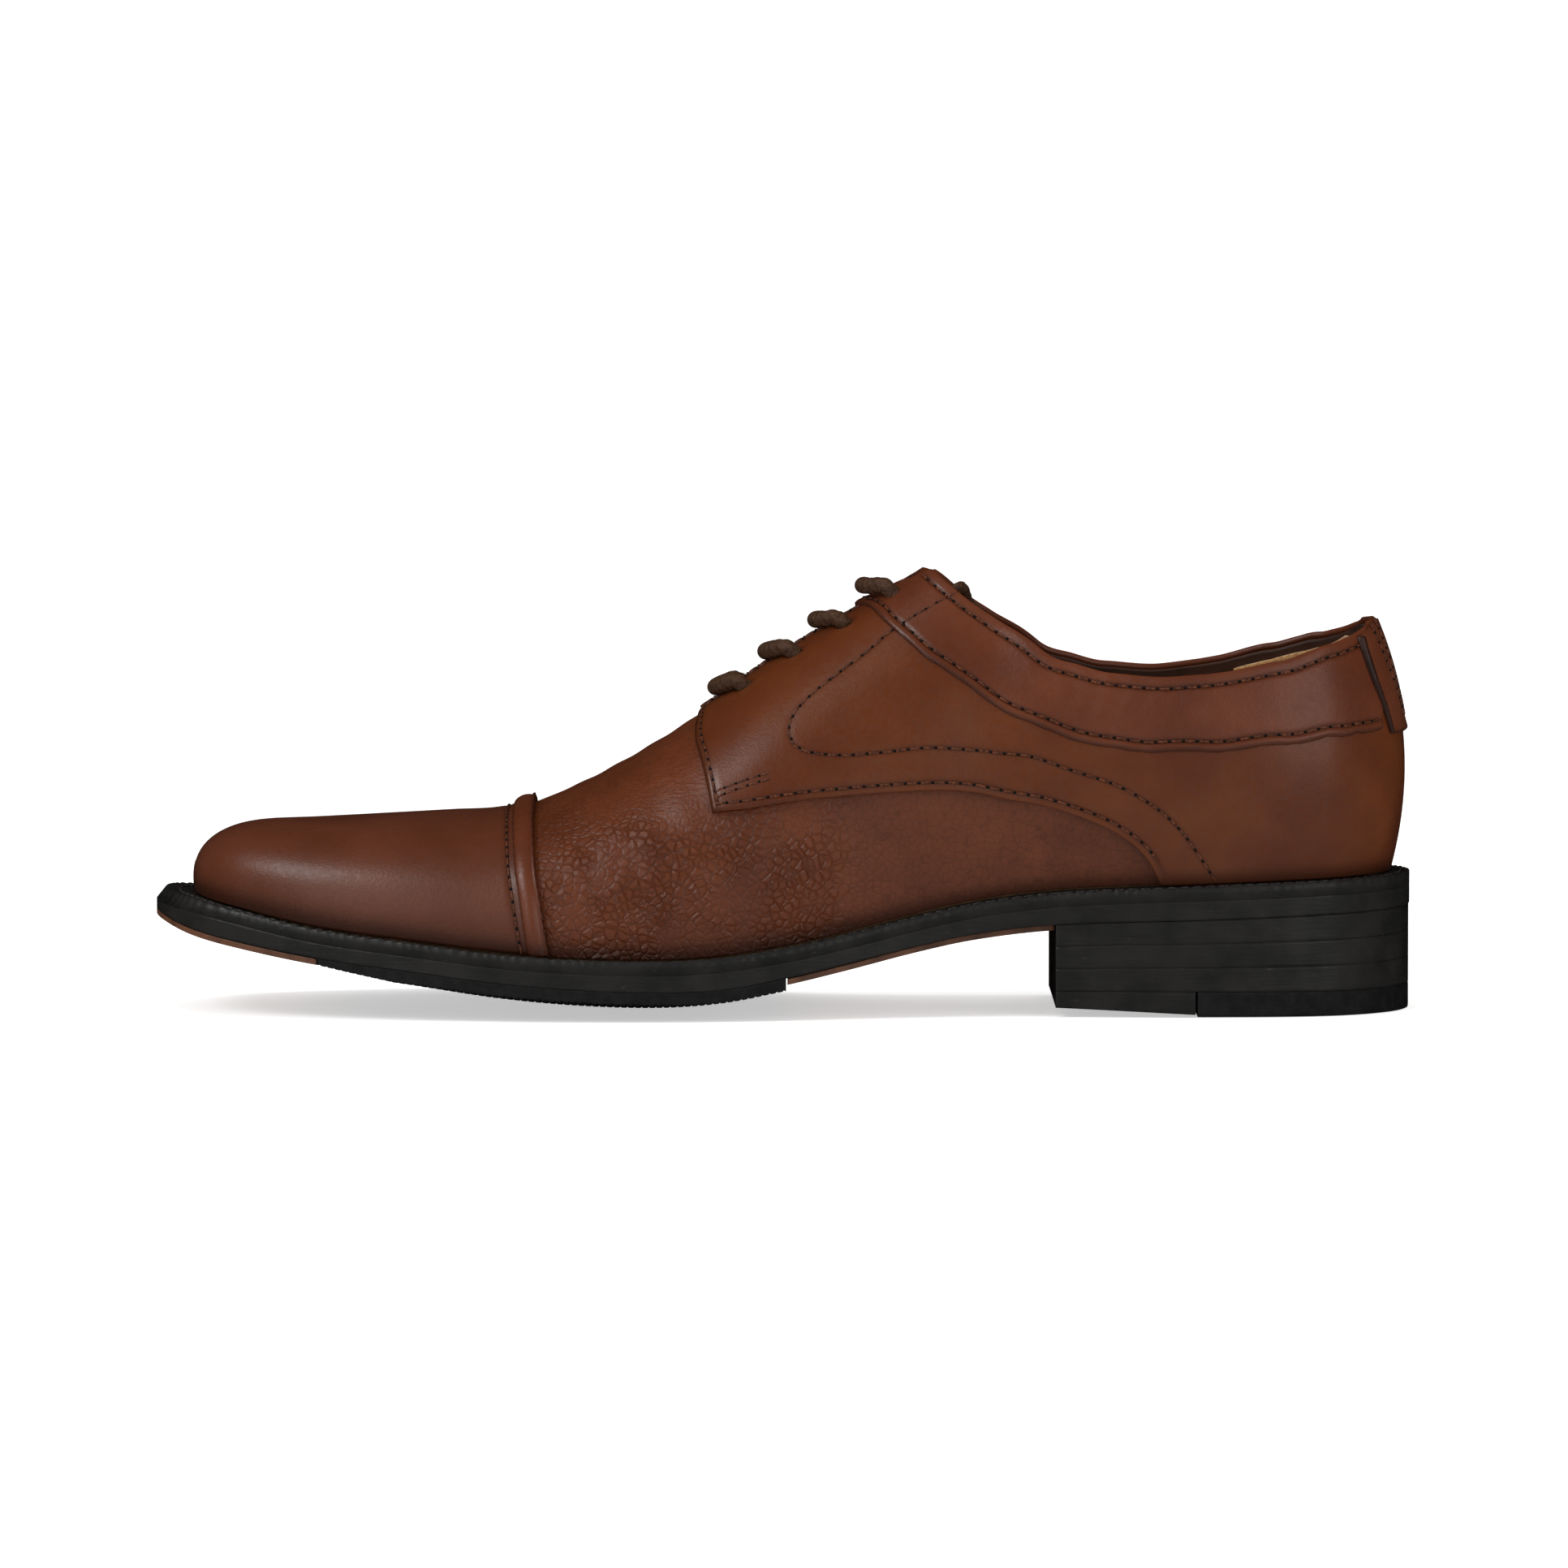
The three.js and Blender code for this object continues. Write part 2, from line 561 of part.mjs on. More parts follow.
for (const [word, side] of [["lateral", 1], ["medial", -1]]) {
  const map = quarterMap(side);
  addMesh(`quarter_${word}`, withHoles(side, panel(map, ...outerLayer, 30, 14)), brown, 0.3);
  addMesh(`facing_stay_${word}`, withHoles(side, panel(stayMap(side), ...underLayer, 6, 2)), 0xb9a98c, 0.9);
  const rim = (s) => map(lerp(0.02, 0.93, s), 1);
  const collar = betweenLines(drawn(side, collarHem), rim);
  addMesh(`collar_${word}`, panel(collar, ...bandLayer, 24, 3), brown, 0.35);
  addMesh(`quarter_lining_${word}`, withHoles(side, panel(inset(map, 0.05, 0.76, 0.03, 1), ...liningLayer,
    14, 5)), darkLining, 0.8);
}

// A patch round the back of the heel, from the outer side to the inner, between two heights.
function heelPatch(front, low, high) {
  const side = (sign, s) => place(sign, [lerp(front[0], front[1], s), lerp(low, high, s)]);
  const qAt = (sign, s) => unflatten(side(sign, s))[0];
  const across = (s, v) => {
    const [a, b] = [qAt(1, s), qAt(-1, s)];
    const q = lerp(a, 2 + b, v);
    return heelFlat(q > 1 ? q - 2 : q, lerp(low, high, s));
  };
  return (u, v) => across(v, u);
}

addMesh("heel_tab", panel(heelPatch([144.4, 142.2], 34, 57.4), ...bandLayer, 10, 4), brown, 0.35);
addMesh("heel_counter", panel(heelPatch([wingEnd + 5, wingEnd + 12], 0.5, 42), ...underLayer, 18, 5),
  0xb9a98c, 0.9);
addMesh("heel_grip", panel(heelPatch([127, 125], 3, 50.5), ...liningLayer, 14, 4), tan, 1);

// ---- Tongue and laces ----------------------------------------------------------

const laceRadius = laceDiameter / 2;
const eyeletDepth = liningLayer[0] - layerGap - 2 * gap - eyeletThickness;
const laceDepth = eyeletDepth - gap - laceRadius;
const tongueTop = laceDepth - laceRadius - 2 * gap;
const tongueRoot = -20; // where the tongue is stitched under the vamp
const tongueTip = 36;

for (const [word, side] of [["lateral", 1], ["medial", -1]]) {
  for (let k = 0; k < eyeletPlaces.length; k++) {
    const profile = [[eyeletHole / 2, 0], [eyeletRim / 2, 0], [eyeletRim / 2, eyeletThickness],
      [eyeletHole / 2, eyeletThickness], [eyeletHole / 2, 0]].map(([r, y]) => new THREE.Vector2(r, y));
    const rim = new THREE.LatheGeometry(profile, 8);
    addMesh(`eyelet_${word}_${k + 1}`, atEyelet(side, k, rim, eyeletDepth), 0x4a3a22, 0.4, 0.8);
  }
}

// The tongue widens from its root to its tip and lies under the lace, down to the vamp's lining at its root.
const tongueHalf = (s) => lerp(13, 17, s) * ky;
const tongueDepth = (s) => lerp(liningLayer[0] - layerGap, tongueTop, THREE.MathUtils.smoothstep(s, 0, 0.22));
const tongueMap = (u, v) => [lerp(tongueRoot, tongueTip, u) * kx, (v - 0.5) * 2 * tongueHalf(u)];
const tonguePart = (above, thick) => plate(11, 6, (u, v, w) => {
  const ridge = tongueMap(u, 0.5);
  const down = skin(ridge, -1).sub(skin(ridge, 0));
  return skin(tongueMap(u, v), tongueDepth(u)).addScaledVector(down, above + thick * (1 - w));
});
addMesh("tongue", tonguePart(0, tongueThickness), brown, 0.5);
addMesh("tongue_lining", tonguePart(tongueThickness + 2 * gap, lining), darkLining, 0.8);

// A round cord through points, with eight sides.
function cord(points, steps) {
  const line = new THREE.CatmullRomCurve3(points, false, "centripetal");
  const round = new THREE.Shape();
  for (let i = 0; i < 8; i++) {
    const angle = (i / 8) * 2 * Math.PI;
    const [x, y] = [laceRadius * Math.cos(angle), laceRadius * Math.sin(angle)];
    if (i === 0) round.moveTo(x, y);
    else round.lineTo(x, y);
  }
  round.closePath();
  const tube = plain(new THREE.ExtrudeGeometry(round, { steps, extrudePath: line }));
  return shape(mergeVertices(tube), (p) => p);
}

function plain(geometry) {
  geometry.deleteAttribute("normal");
  geometry.deleteAttribute("uv");
  return geometry;
}

// The lace crosses the facings in four bars. Its runs inside lead from bar to bar on the same side.
const collarRow = 3; // the row that crosses the collar
const laceHeight = (k) => laceRadius + 2 * gap + (k === collarRow ? bandLayer[1] + 2 * gap : 0);
const inside = (side, k, dx, dy, depth) => {
  const [x, y] = rowHoles[side][k];
  return skin([x + dx, y + side * dy], depth);
};
// From the hole on one side, up through it, over the gap and down through the other.
function bar(k, from) {
  const to = -from;
  const [a, b] = [rowHoles[from][k], rowHoles[to][k]];
  const height = laceHeight(k);
  // The share of the way across, the slack towards the toe and the height.
  const over = [[0.04, 1.2, height - 0.6], [0.14, 3.6, height], [0.3, 5.4, height + 0.2], [0.5, 6, height + 0.3],
    [0.7, 5.4, height + 0.2], [0.86, 3.6, height], [0.96, 1.2, height - 0.6]];
  const across = over.map(([s, slack, h]) => {
    const [x, y] = lerp2(a, b, s);
    return skin([x - slack, y], h);
  });
  return [skin(a, laceDepth + 0.6), skin(a, -2), ...across, skin(b, -2), skin(b, laceDepth + 0.6)];
}
const run = (side, a, b, dy) => [0.2, 0.5, 0.8].map((s) => {
  const flat = lerp2(rowHoles[side][a], rowHoles[side][b], s);
  return skin([flat[0], flat[1] + side * dy], laceDepth);
});
// Both ends run back under the inner facing to the mouth of the shoe.
const toMouth = (k, steps, dy) => steps.map((dx) => inside(-1, k, dx, dy, laceDepth));
const laced = [...toMouth(3, [12, 8, 4], 0), ...bar(3, -1), ...run(1, 3, 1, -2.6), ...bar(1, 1),
  ...run(-1, 1, 0, 0), ...bar(0, -1), ...run(1, 0, 2, 2.6), ...bar(2, 1), ...toMouth(2, [4, 9, 15, 21], -3.8)];
const laceColor = 0x4b3e32;
addMesh("lace", cord(laced, 110), laceColor, 0.6);

// The two loose ends, tucked into the shoe: over the end of the tongue, down, and along the sock liner.
// Each point is on the plan, with its height above the liner.
const tailPoints = [
  [[44.5, 8.5, 65.2], [48, 7.6, 60.5], [50.5, 7.4, 54], [53, 8, 46.5], [56.5, 9, 38.5], [60.5, 10, 29.5],
    [62, 10.5, 19.3], [65, 11, 10.1], [70.5, 11.5, 3.7], [78, 12, 1], [88, 12, 0.9], [98, 11, 0.8],
    [106.5, 6, 0.7], [109, -1, 0.7], [105, -7.5, 0.8], [96, -9.8, 0.9], [86, -9.8, 0.8], [76, -9, 0.8],
    [66, -8, 0.8], [56, -7, 0.8], [47, -6, 0.8]],
  [[44, 10.3, 59], [46.8, 12, 54], [49.5, 13.2, 48], [52.5, 14.2, 41], [55, 15, 32.1],
    [56, 16, 21.5], [57.5, 17, 10.8], [61, 17.5, 3.9], [68, 18.5, 1.1], [77, 19.5, 1], [88, 20, 0.9],
    [100, 20, 0.8], [112, 17.5, 0.6], [120.5, 12, 0.6], [123.5, 3.5, 0.6], [120.5, -5, 0.6],
    [112, -12, 0.6], [101, -15.5, 0.8], [89, -16.5, 0.8], [77, -16.5, 0.9], [66, -15.5, 0.9]],
].map((points) => points.map(([x, y, above]) => {
  const [px, py] = plan([x, y]);
  return new THREE.Vector3(px, py, sockTop(px) + laceRadius + above);
}));
const ends = [[laced[0], laced[1]], [laced.at(-1), laced.at(-2)]];
const agletLength = 18;
tailPoints.forEach((points, i) => {
  const [end, before] = ends[i];
  const away = end.clone().sub(before).normalize();
  const line = [end.clone().addScaledVector(away, gap), end.clone().addScaledVector(away, 3), ...points];
  addMesh(`lace_end_${i + 1}`, cord(line, 28), laceColor, 0.6);
  const tip = points.at(-1);
  const along = tip.clone().sub(points.at(-2)).normalize();
  const turn = new THREE.Quaternion().setFromUnitVectors(new THREE.Vector3(0, 1, 0), along);
  const centre = tip.clone().addScaledVector(along, gap + agletLength / 2);
  const tube = new THREE.CylinderGeometry(laceRadius * 0.8, laceRadius, agletLength, 10);
  addMesh(`aglet_${i + 1}`, shape(tube, (p) => p.clone().applyQuaternion(turn).add(centre)), 0x2b2520, 0.3);
});

export default shoe;
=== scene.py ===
import bpy
import bmesh
import math
import numpy as np
from mathutils.kdtree import KDTree
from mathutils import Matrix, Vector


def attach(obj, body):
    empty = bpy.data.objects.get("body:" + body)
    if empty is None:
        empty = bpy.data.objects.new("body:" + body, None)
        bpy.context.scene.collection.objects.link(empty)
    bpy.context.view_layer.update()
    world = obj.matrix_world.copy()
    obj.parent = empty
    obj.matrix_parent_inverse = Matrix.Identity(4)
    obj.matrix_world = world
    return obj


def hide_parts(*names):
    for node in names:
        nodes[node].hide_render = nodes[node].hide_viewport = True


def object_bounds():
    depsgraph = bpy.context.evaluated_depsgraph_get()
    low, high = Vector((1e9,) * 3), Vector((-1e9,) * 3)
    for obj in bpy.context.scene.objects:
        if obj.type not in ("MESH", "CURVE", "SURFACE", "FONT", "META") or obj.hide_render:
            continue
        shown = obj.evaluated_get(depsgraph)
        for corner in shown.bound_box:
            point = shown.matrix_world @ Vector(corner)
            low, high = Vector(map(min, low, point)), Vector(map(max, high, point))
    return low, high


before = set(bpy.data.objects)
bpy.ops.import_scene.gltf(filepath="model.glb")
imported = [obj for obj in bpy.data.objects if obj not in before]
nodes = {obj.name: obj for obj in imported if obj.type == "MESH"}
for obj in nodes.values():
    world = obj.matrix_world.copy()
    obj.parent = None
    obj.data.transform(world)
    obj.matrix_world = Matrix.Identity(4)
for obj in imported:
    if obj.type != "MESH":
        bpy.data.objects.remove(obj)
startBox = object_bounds()
scene = bpy.context.scene

# A leather derby shoe, left foot: toe to -X, heel to +X, outer side to -Y, floor at z = 0.
# Shapes are worked out in millimetres and go into the meshes in metres.
mm = 0.001
scaleX = (startBox[1][0] - startBox[0][0]) / mm / 302.74
scaleY = (startBox[1][1] - startBox[0][1]) / mm / 103.71


# Camera: a side view with a long lens, looking down a little

cameraTilt = math.radians(3.5)
cameraDistance = 2.5
viewWidth = 0.3788
viewCentreHeight = 0.0535
camera = bpy.data.objects.new("camera", bpy.data.cameras.new("camera"))
camera.data.sensor_width = 36
camera.data.lens = 36 * cameraDistance / viewWidth
camera.location = (0, -cameraDistance * math.cos(cameraTilt),
                   viewCentreHeight + cameraDistance * math.sin(cameraTilt))
camera.rotation_euler = (math.pi / 2 - cameraTilt, 0, 0)
scene.collection.objects.link(camera)
scene.camera = camera
print("camera")


# Curves through points, for whole arrays at once

def hermite(a, b, slopeA, slopeB, width, s):
    return ((2 * s**3 - 3 * s**2 + 1) * a + (s**3 - 2 * s**2 + s) * width * slopeA
            + (3 * s**2 - 2 * s**3) * b + (s**3 - s**2) * width * slopeB)


def graph(points):
    # a smooth function of x through (x, value) points
    table = np.array(points, float)
    x, v = table[:, 0] * scaleX, table[:, 1]
    low = np.maximum(np.arange(len(x)) - 1, 0)
    high = np.minimum(np.arange(len(x)) + 1, len(x) - 1)
    slope = (v[high] - v[low]) / (x[high] - x[low])

    def read(at):
        at = np.asarray(at, float)
        i = np.clip(np.searchsorted(x, at) - 1, 0, len(x) - 2)
        width = x[i + 1] - x[i]
        s = np.clip((at - x[i]) / width, 0, 1)
        return hermite(v[i], v[i + 1], slope[i], slope[i + 1], width, s)
    return read


def route(points, closed=False):
    # a smooth curve through points, read by its share of the length between them
    p = np.array(points, float)
    if closed:
        p = np.vstack([p, p[:1]])
    knots = np.concatenate([[0], np.cumsum(np.linalg.norm(np.diff(p, axis=0), axis=1))])
    last = len(p) - 1
    low = np.maximum(np.arange(last + 1) - 1, 0)
    high = np.minimum(np.arange(last + 1) + 1, last)
    span = np.zeros(last + 1)
    if closed:
        low[0], high[last] = last - 1, 1
        span[0] = span[last] = knots[last]
    slope = (p[high] - p[low]) / (knots[high] - knots[low] + span)[:, None]

    def read(s):
        at = np.clip(np.asarray(s, float), 0, 1) * knots[last]
        i = np.clip(np.searchsorted(knots, at) - 1, 0, last - 1)
        width = knots[i + 1] - knots[i]
        f = (at - knots[i]) / width
        return hermite(p[i], p[i + 1], slope[i], slope[i + 1], width[..., None], f[..., None])
    return read


def bisect(low, high, isLow, size):
    a = np.full(size, float(low))
    b = np.full(size, float(high))
    for _ in range(34):
        middle = (a + b) / 2
        under = isLow(middle)
        a = np.where(under, middle, a)
        b = np.where(under, b, middle)
    return (a + b) / 2


def mix(a, b, s):
    return a + (b - a) * s


def smooth(x, low, high):
    s = np.clip((x - low) / (high - low), 0, 1)
    return s * s * (3 - 2 * s)


outsoleLow = graph([(-152, 24.6), (-142, 21.2), (-129.5, 18.6), (-110, 15.2), (-88, 12.2), (-68, 9.4),
                    (-50, 7.8), (-30, 7.1), (-14, 7.9), (0, 10.4), (14.5, 13.6), (30, 17), (46, 20),
                    (65, 22), (100, 23.2), (152, 25.2)])
soleStack = graph([(-152, 5.4), (-140, 7.4), (-110, 6.9), (-60, 7), (-14, 7.6), (10, 7), (40, 7.2),
                   (100, 7.9), (152, 7.9)])
crown = graph([(-152, 0.1), (-110, 0.7), (-70, 1), (-30, 1), (0, 0.6), (45, 0), (152, 0)])
crownHeight = 3.6


def drop(x, y):
    return crownHeight * crown(x) * np.maximum(0, 1 - (y / (52 * scaleY)) ** 2)


def weltTop(x):
    return outsoleLow(x) + soleStack(x)


planScale = np.array([scaleX, scaleY])
lateralPlan = np.array([(-142.5, 1), (-140, -13), (-131.5, -24.5), (-112, -35), (-80, -43.5),
                        (-45, -47.5), (-10, -45), (30, -37), (65, -33), (100, -33.5), (128, -29),
                        (142, -17), (146.6, 0)]) * planScale
medialPlan = np.array([(-140.5, 14), (-132.5, 26), (-112, 37), (-82, 45.5), (-52, 46.8), (-20, 40.5),
                       (20, 29.5), (60, 28.5), (100, 32), (128, 28), (142, 16.5)]) * planScale
loop = np.vstack([lateralPlan, medialPlan[::-1]])


def chord(p):
    return np.linalg.norm(np.diff(p, axis=0), axis=1).sum()


lateralShare = chord(lateralPlan) / chord(np.vstack([loop, loop[:1]]))
loopRoute = route(loop, closed=True)


def outline(q):
    # the feather edge: q runs from the toe (0) to the heel, at 1 round the outer side and -1 round the inner
    q = np.asarray(q, float)
    return loopRoute(np.where(q >= 0, q * lateralShare, 1 + q * (1 - lateralShare)))


def outlineOut(q, distance):
    step = 0.004
    q = np.asarray(q, float)
    a = outline(np.where(q - step < -1, q - step + 2, q - step))
    b = outline(np.where(q + step > 1, q + step - 2, q + step))
    along = (b - a) / np.linalg.norm(b - a, axis=-1, keepdims=True)
    out = np.stack([along[..., 1], -along[..., 0]], -1)
    return outline(q) + out * np.asarray(distance)[..., None]


toePole = -118 * scaleX
heelPole = 118 * scaleX
poleSoftness = 8


def softPlus(x):
    return poleSoftness * np.log1p(np.exp(x / poleSoftness))


def spinePoint(x):
    front = toePole + softPlus(x - toePole)
    return heelPole - softPlus(heelPole - front)


spineHeight = graph([(-118, 21.6), (-107, 24), (-88, 27.6), (-80, 29.2), (-68, 31.6), (-60, 35),
                     (-48, 41), (-36, 47.8), (-20, 57.4), (-7, 65.2), (4, 70.5), (15, 75), (27, 79.6),
                     (35, 83.3), (50, 91.8), (61, 104.6), (78, 115), (100, 119), (118, 118)])
squareness = graph([(-142, 2.8), (-90, 2.6), (-50, 2.3), (-10, 2.4), (30, 2.4), (55, 2.1), (90, 2.4),
                    (147, 3)])
bulge = graph([(-142, 0.5), (-80, 1), (-20, 2), (40, 3.4), (147, 3.4)])
bulgeHeight = graph([(-142, 0.5), (20, 0.48), (50, 0.32), (80, 0.25), (147, 0.22)])
featherGap = 0.3


def lastPoint(q, h):
    # a point on the meridian q, at h from the feather edge (0) to the ridge (1)
    p = outline(q)
    x, y = p[..., 0], p[..., 1]
    top = spinePoint(x)
    low = weltTop(x) - drop(x, y) + featherGap
    high = weltTop(top) + spineHeight(top)
    angle = h * math.pi / 2
    n = squareness(x)
    c, s = np.cos(angle), np.sin(angle)
    radius = (np.abs(c) ** n + np.abs(s) ** n) ** (-1 / n)
    b = radius * s
    out = bulge(x) * (1 - ((b - bulgeHeight(x)) / bulgeHeight(x)) ** 2) * (1 - np.abs(b) ** 6)
    share = radius * c + out / np.hypot(x - top, y)
    return np.stack([top + (x - top) * share, y * share, low + b * (high - low)], -1)


def flatten(q, h):
    # the same place on the flat pattern: the outline, with the ridge down its middle
    p = outline(q)
    return np.stack([mix(p[..., 0], spinePoint(p[..., 0]), h), p[..., 1] * (1 - np.asarray(h))], -1)


def unflatten(flat):
    x, y = flat[..., 0], flat[..., 1]
    side = np.where(y > 0, -1.0, 1.0)
    y = np.where(np.abs(y) < 1e-6, -1e-6 * side, y)

    def under(value):
        p = outline(side * value)
        top = spinePoint(p[..., 0])
        return side * ((p[..., 0] - top) * y - p[..., 1] * (x - top)) > 0
    q = bisect(0, 1, under, x.shape)
    p = outline(side * q)
    top = spinePoint(p[..., 0])
    return side * q, 1 - np.hypot(x - top, y) / np.hypot(p[..., 0] - top, p[..., 1])


def onLast(flat):
    return lastPoint(*unflatten(flat))


def skinFrame(flat):
    # the point and the outward normal over a place of the flat pattern
    flat = np.asarray(flat, float)
    step = 0.2
    dx = np.array([step, 0.0])
    dy = np.array([0.0, step])
    normal = np.cross(onLast(flat + dx) - onLast(flat - dx), onLast(flat + dy) - onLast(flat - dy))
    return onLast(flat), normal / np.linalg.norm(normal, axis=-1, keepdims=True)


def skin(flat, offset):
    point, normal = skinFrame(flat)
    return point + normal * np.asarray(offset, float)[..., None]


def levelOn(q, v):
    # how far up the meridian q a height v above the welt lies
    z = weltTop(outline(q)[..., 0]) + v
    return bisect(0, 0.96, lambda h: lastPoint(q, h)[..., 2] < z, np.shape(z))


def place(side, points):
    # flat places of points given by their side view: x, and v above the welt
    p = np.array(points, float).reshape(-1, 2)
    x = p[:, 0] * scaleX
    z = weltTop(x) + p[:, 1]

    def level(q):
        return bisect(0, 0.96, lambda h: lastPoint(q, h)[..., 2] < z, z.shape)
    q = side * bisect(0.001, 0.999, lambda s: lastPoint(side * s, level(side * s))[..., 0] < x, x.shape)
    return flatten(q, level(q))


def heelFlat(q, v):
    return flatten(q, levelOn(q, v))


def drawn(side, points):
    return route(place(side, points))


def overLine(points, shift=0):
    # from the outer feather edge over the ridge to the inner one
    moved = [(x + shift, v) for x, v in points]
    outer, inner = place(1, moved)[::-1], place(-1, moved)
    ridge = [[(outer[-1][0] + inner[0][0]) / 2, 0]]
    return route(np.vstack([outer, ridge, inner]))


def patch(bottom, top, left, right, reach=1):
    # fills the space between four flat curves; with more reach, left and right fade faster
    c = [bottom(np.array(0.0)), bottom(np.array(1.0)), top(np.array(0.0)), top(np.array(1.0))]

    def read(u, v):
        u1, v1 = u[..., None], v[..., None]
        return (mix(bottom(u), top(u), v1) + (1 - u1) ** reach * (left(v) - mix(c[0], c[2], v1))
                + u1 ** reach * (right(v) - mix(c[1], c[3], v1)))
    return read


def between(a, b):
    def read(u, v):
        return mix(a(u), b(u), v[..., None])
    return read


# Seams of the upper, as side views: x, and the height above the welt
capSeam = [(-65, 31), (-64.6, 26), (-64, 19.5), (-63, 13.5), (-62, 7), (-60.8, 0.2)]
quarterFront = [(-17.3, 34.4), (-18.4, 40), (-20, 46.5), (-21.6, 52)]
topline = [(37, 78.4), (42, 73.2), (49.8, 66.5), (61.6, 57.2), (70, 53.4), (78, 51), (92, 49.6),
           (106, 50.3), (119, 52.2), (126, 54.2), (131, 55.6), (134.5, 56.6), (137.5, 57.7),
           (139.8, 58.8), (141, 59.5)]
quarterHem = [(-17.3, 34.4), (-6.7, 34.2), (9.9, 33.3), (26, 30.8), (36, 29), (46, 26.4), (56, 23),
              (67, 19.4), (75.4, 15.8), (82.7, 11.1), (87, 6.5), (90, 0.2)]
collarHem = [(17, 75.6), (23.7, 71.4), (28, 66.8), (34, 60.4), (45, 50.8), (56, 42.4), (67, 37),
             (78, 34), (89, 32.5), (104, 32), (119, 33), (126, 33.6), (133, 34.2), (138, 34.6),
             (141, 34.8), (143, 34.9)]
teardrop = [(27.4, 69.2), (24.4, 67.9), (19.8, 65), (13.1, 61.6), (6.6, 58), (2.6, 54.6), (1, 51),
            (2.2, 47.3), (6.1, 44.7), (13.7, 42.3), (22.5, 40.9), (31.9, 39.8), (40.7, 37.8),
            (49.5, 35.5), (63.8, 31.2), (77.1, 26), (86.4, 20.9), (92.9, 15.5), (97.9, 9), (102.4, 1.9)]
facing = [(-20.6, 2.4), (-7, 2.8), (7, 3.2), (20, 3.8), (33, 4.6)]
eyeletPlaces = [(-9.5, 8.4), (2.5, 8.2), (14.5, 8.2), (26.5, 8.2)]
backHeight = 60.6
backSeam = 0.9995  # just short of where the two sides meet at the heel


def onFlat(side, points):
    return np.array([(x * scaleX, -side * y * scaleY) for x, y in points])


def joined(*parts):
    # curves one after another: (share of the whole, curve)
    ends = np.cumsum([share for share, curve in parts])

    def read(s):
        s = np.asarray(s, float)
        out = None
        for (share, curve), end in zip(parts, ends):
            value = curve(np.clip((s - (end - share)) / share, 0, 1))
            out = value if out is None else np.where((s > end - share)[..., None], value, out)
        return out
    return read


def toplineOn(side):
    # the inner side is cut a little higher towards the back
    return [(x, v + (1.6 * math.exp(-((x - 118) / 14) ** 2) if side < 0 else 0)) for x, v in topline]


def quarterMap(side):
    edge = route(onFlat(side, facing))
    front = route(np.vstack([place(side, quarterFront), edge(np.array([0.0]))]))
    left = joined((0.3, front), (0.7, edge))
    hem = drawn(side, quarterHem)
    hemEnd = unflatten(hem(np.array([1.0])))[0][0]
    bottom = joined((0.68, hem), (0.32, lambda s: flatten(mix(hemEnd, side * backSeam, s), s * 0)))
    rim = route(np.vstack([edge(np.array([1.0])), place(side, toplineOn(side))]))
    rimEnd = unflatten(rim(np.array([1.0])))[0][0]
    toBack = lambda s: heelFlat(mix(rimEnd, side * backSeam, s), mix(60, backHeight, s))
    top = joined((0.93, rim), (0.07, toBack))
    return patch(bottom, top, left, lambda s: heelFlat(side * backSeam + s * 0, mix(0, backHeight, s)), 4)


# Materials

def linear(hexColour):
    values = [int(hexColour[i:i + 2], 16) / 255 for i in (0, 2, 4)]
    return [c / 12.92 if c <= 0.04045 else ((c + 0.055) / 1.055) ** 2.4 for c in values] + [1]


class Shader:
    # a principled material whose patterns read the object's own place, in millimetres
    def __init__(self, name, **values):
        self.material = bpy.data.materials.new(name)
        self.material.use_nodes = True
        self.tree = self.material.node_tree
        self.principled = self.tree.nodes["Principled BSDF"]
        for key, value in values.items():
            self.principled.inputs[key.replace("_", " ")].default_value = value
        place = self.add("TexCoord").outputs["Object"]
        self.position = self.add("VectorMath", operation="SCALE", Vector=place, Scale=1 / mm)

    def add(self, kind, inputs=None, **settings):
        # adds a node; an input is linked where its value is a node or a socket, and set where it isn't
        node = self.tree.nodes.new("ShaderNode" + kind)
        inputs = dict(inputs or {})
        for key, value in settings.items():
            if hasattr(node, key) and key.islower():
                setattr(node, key, value)
            else:
                inputs[key.replace("_", " ")] = value
        if kind in ("TexNoise", "TexVoronoi"):
            inputs.setdefault("Vector", self.position)
        for key, value in inputs.items():
            if isinstance(value, bpy.types.Node):
                value = value.outputs[0]
            if isinstance(value, bpy.types.NodeSocket):
                self.tree.links.new(value, node.inputs[key])
            else:
                node.inputs[key].default_value = value
        return node

    def wire(self, key, value):
        # links a node or a socket to the material
        socket = value.outputs[0] if isinstance(value, bpy.types.Node) else value
        self.tree.links.new(socket, self.principled.inputs[key])


edgeDyeAndShadeBrown = "1d0e08"  # edge dye and painted shade: darkest along a cut or folded edge, in stitch grooves and next to the welt
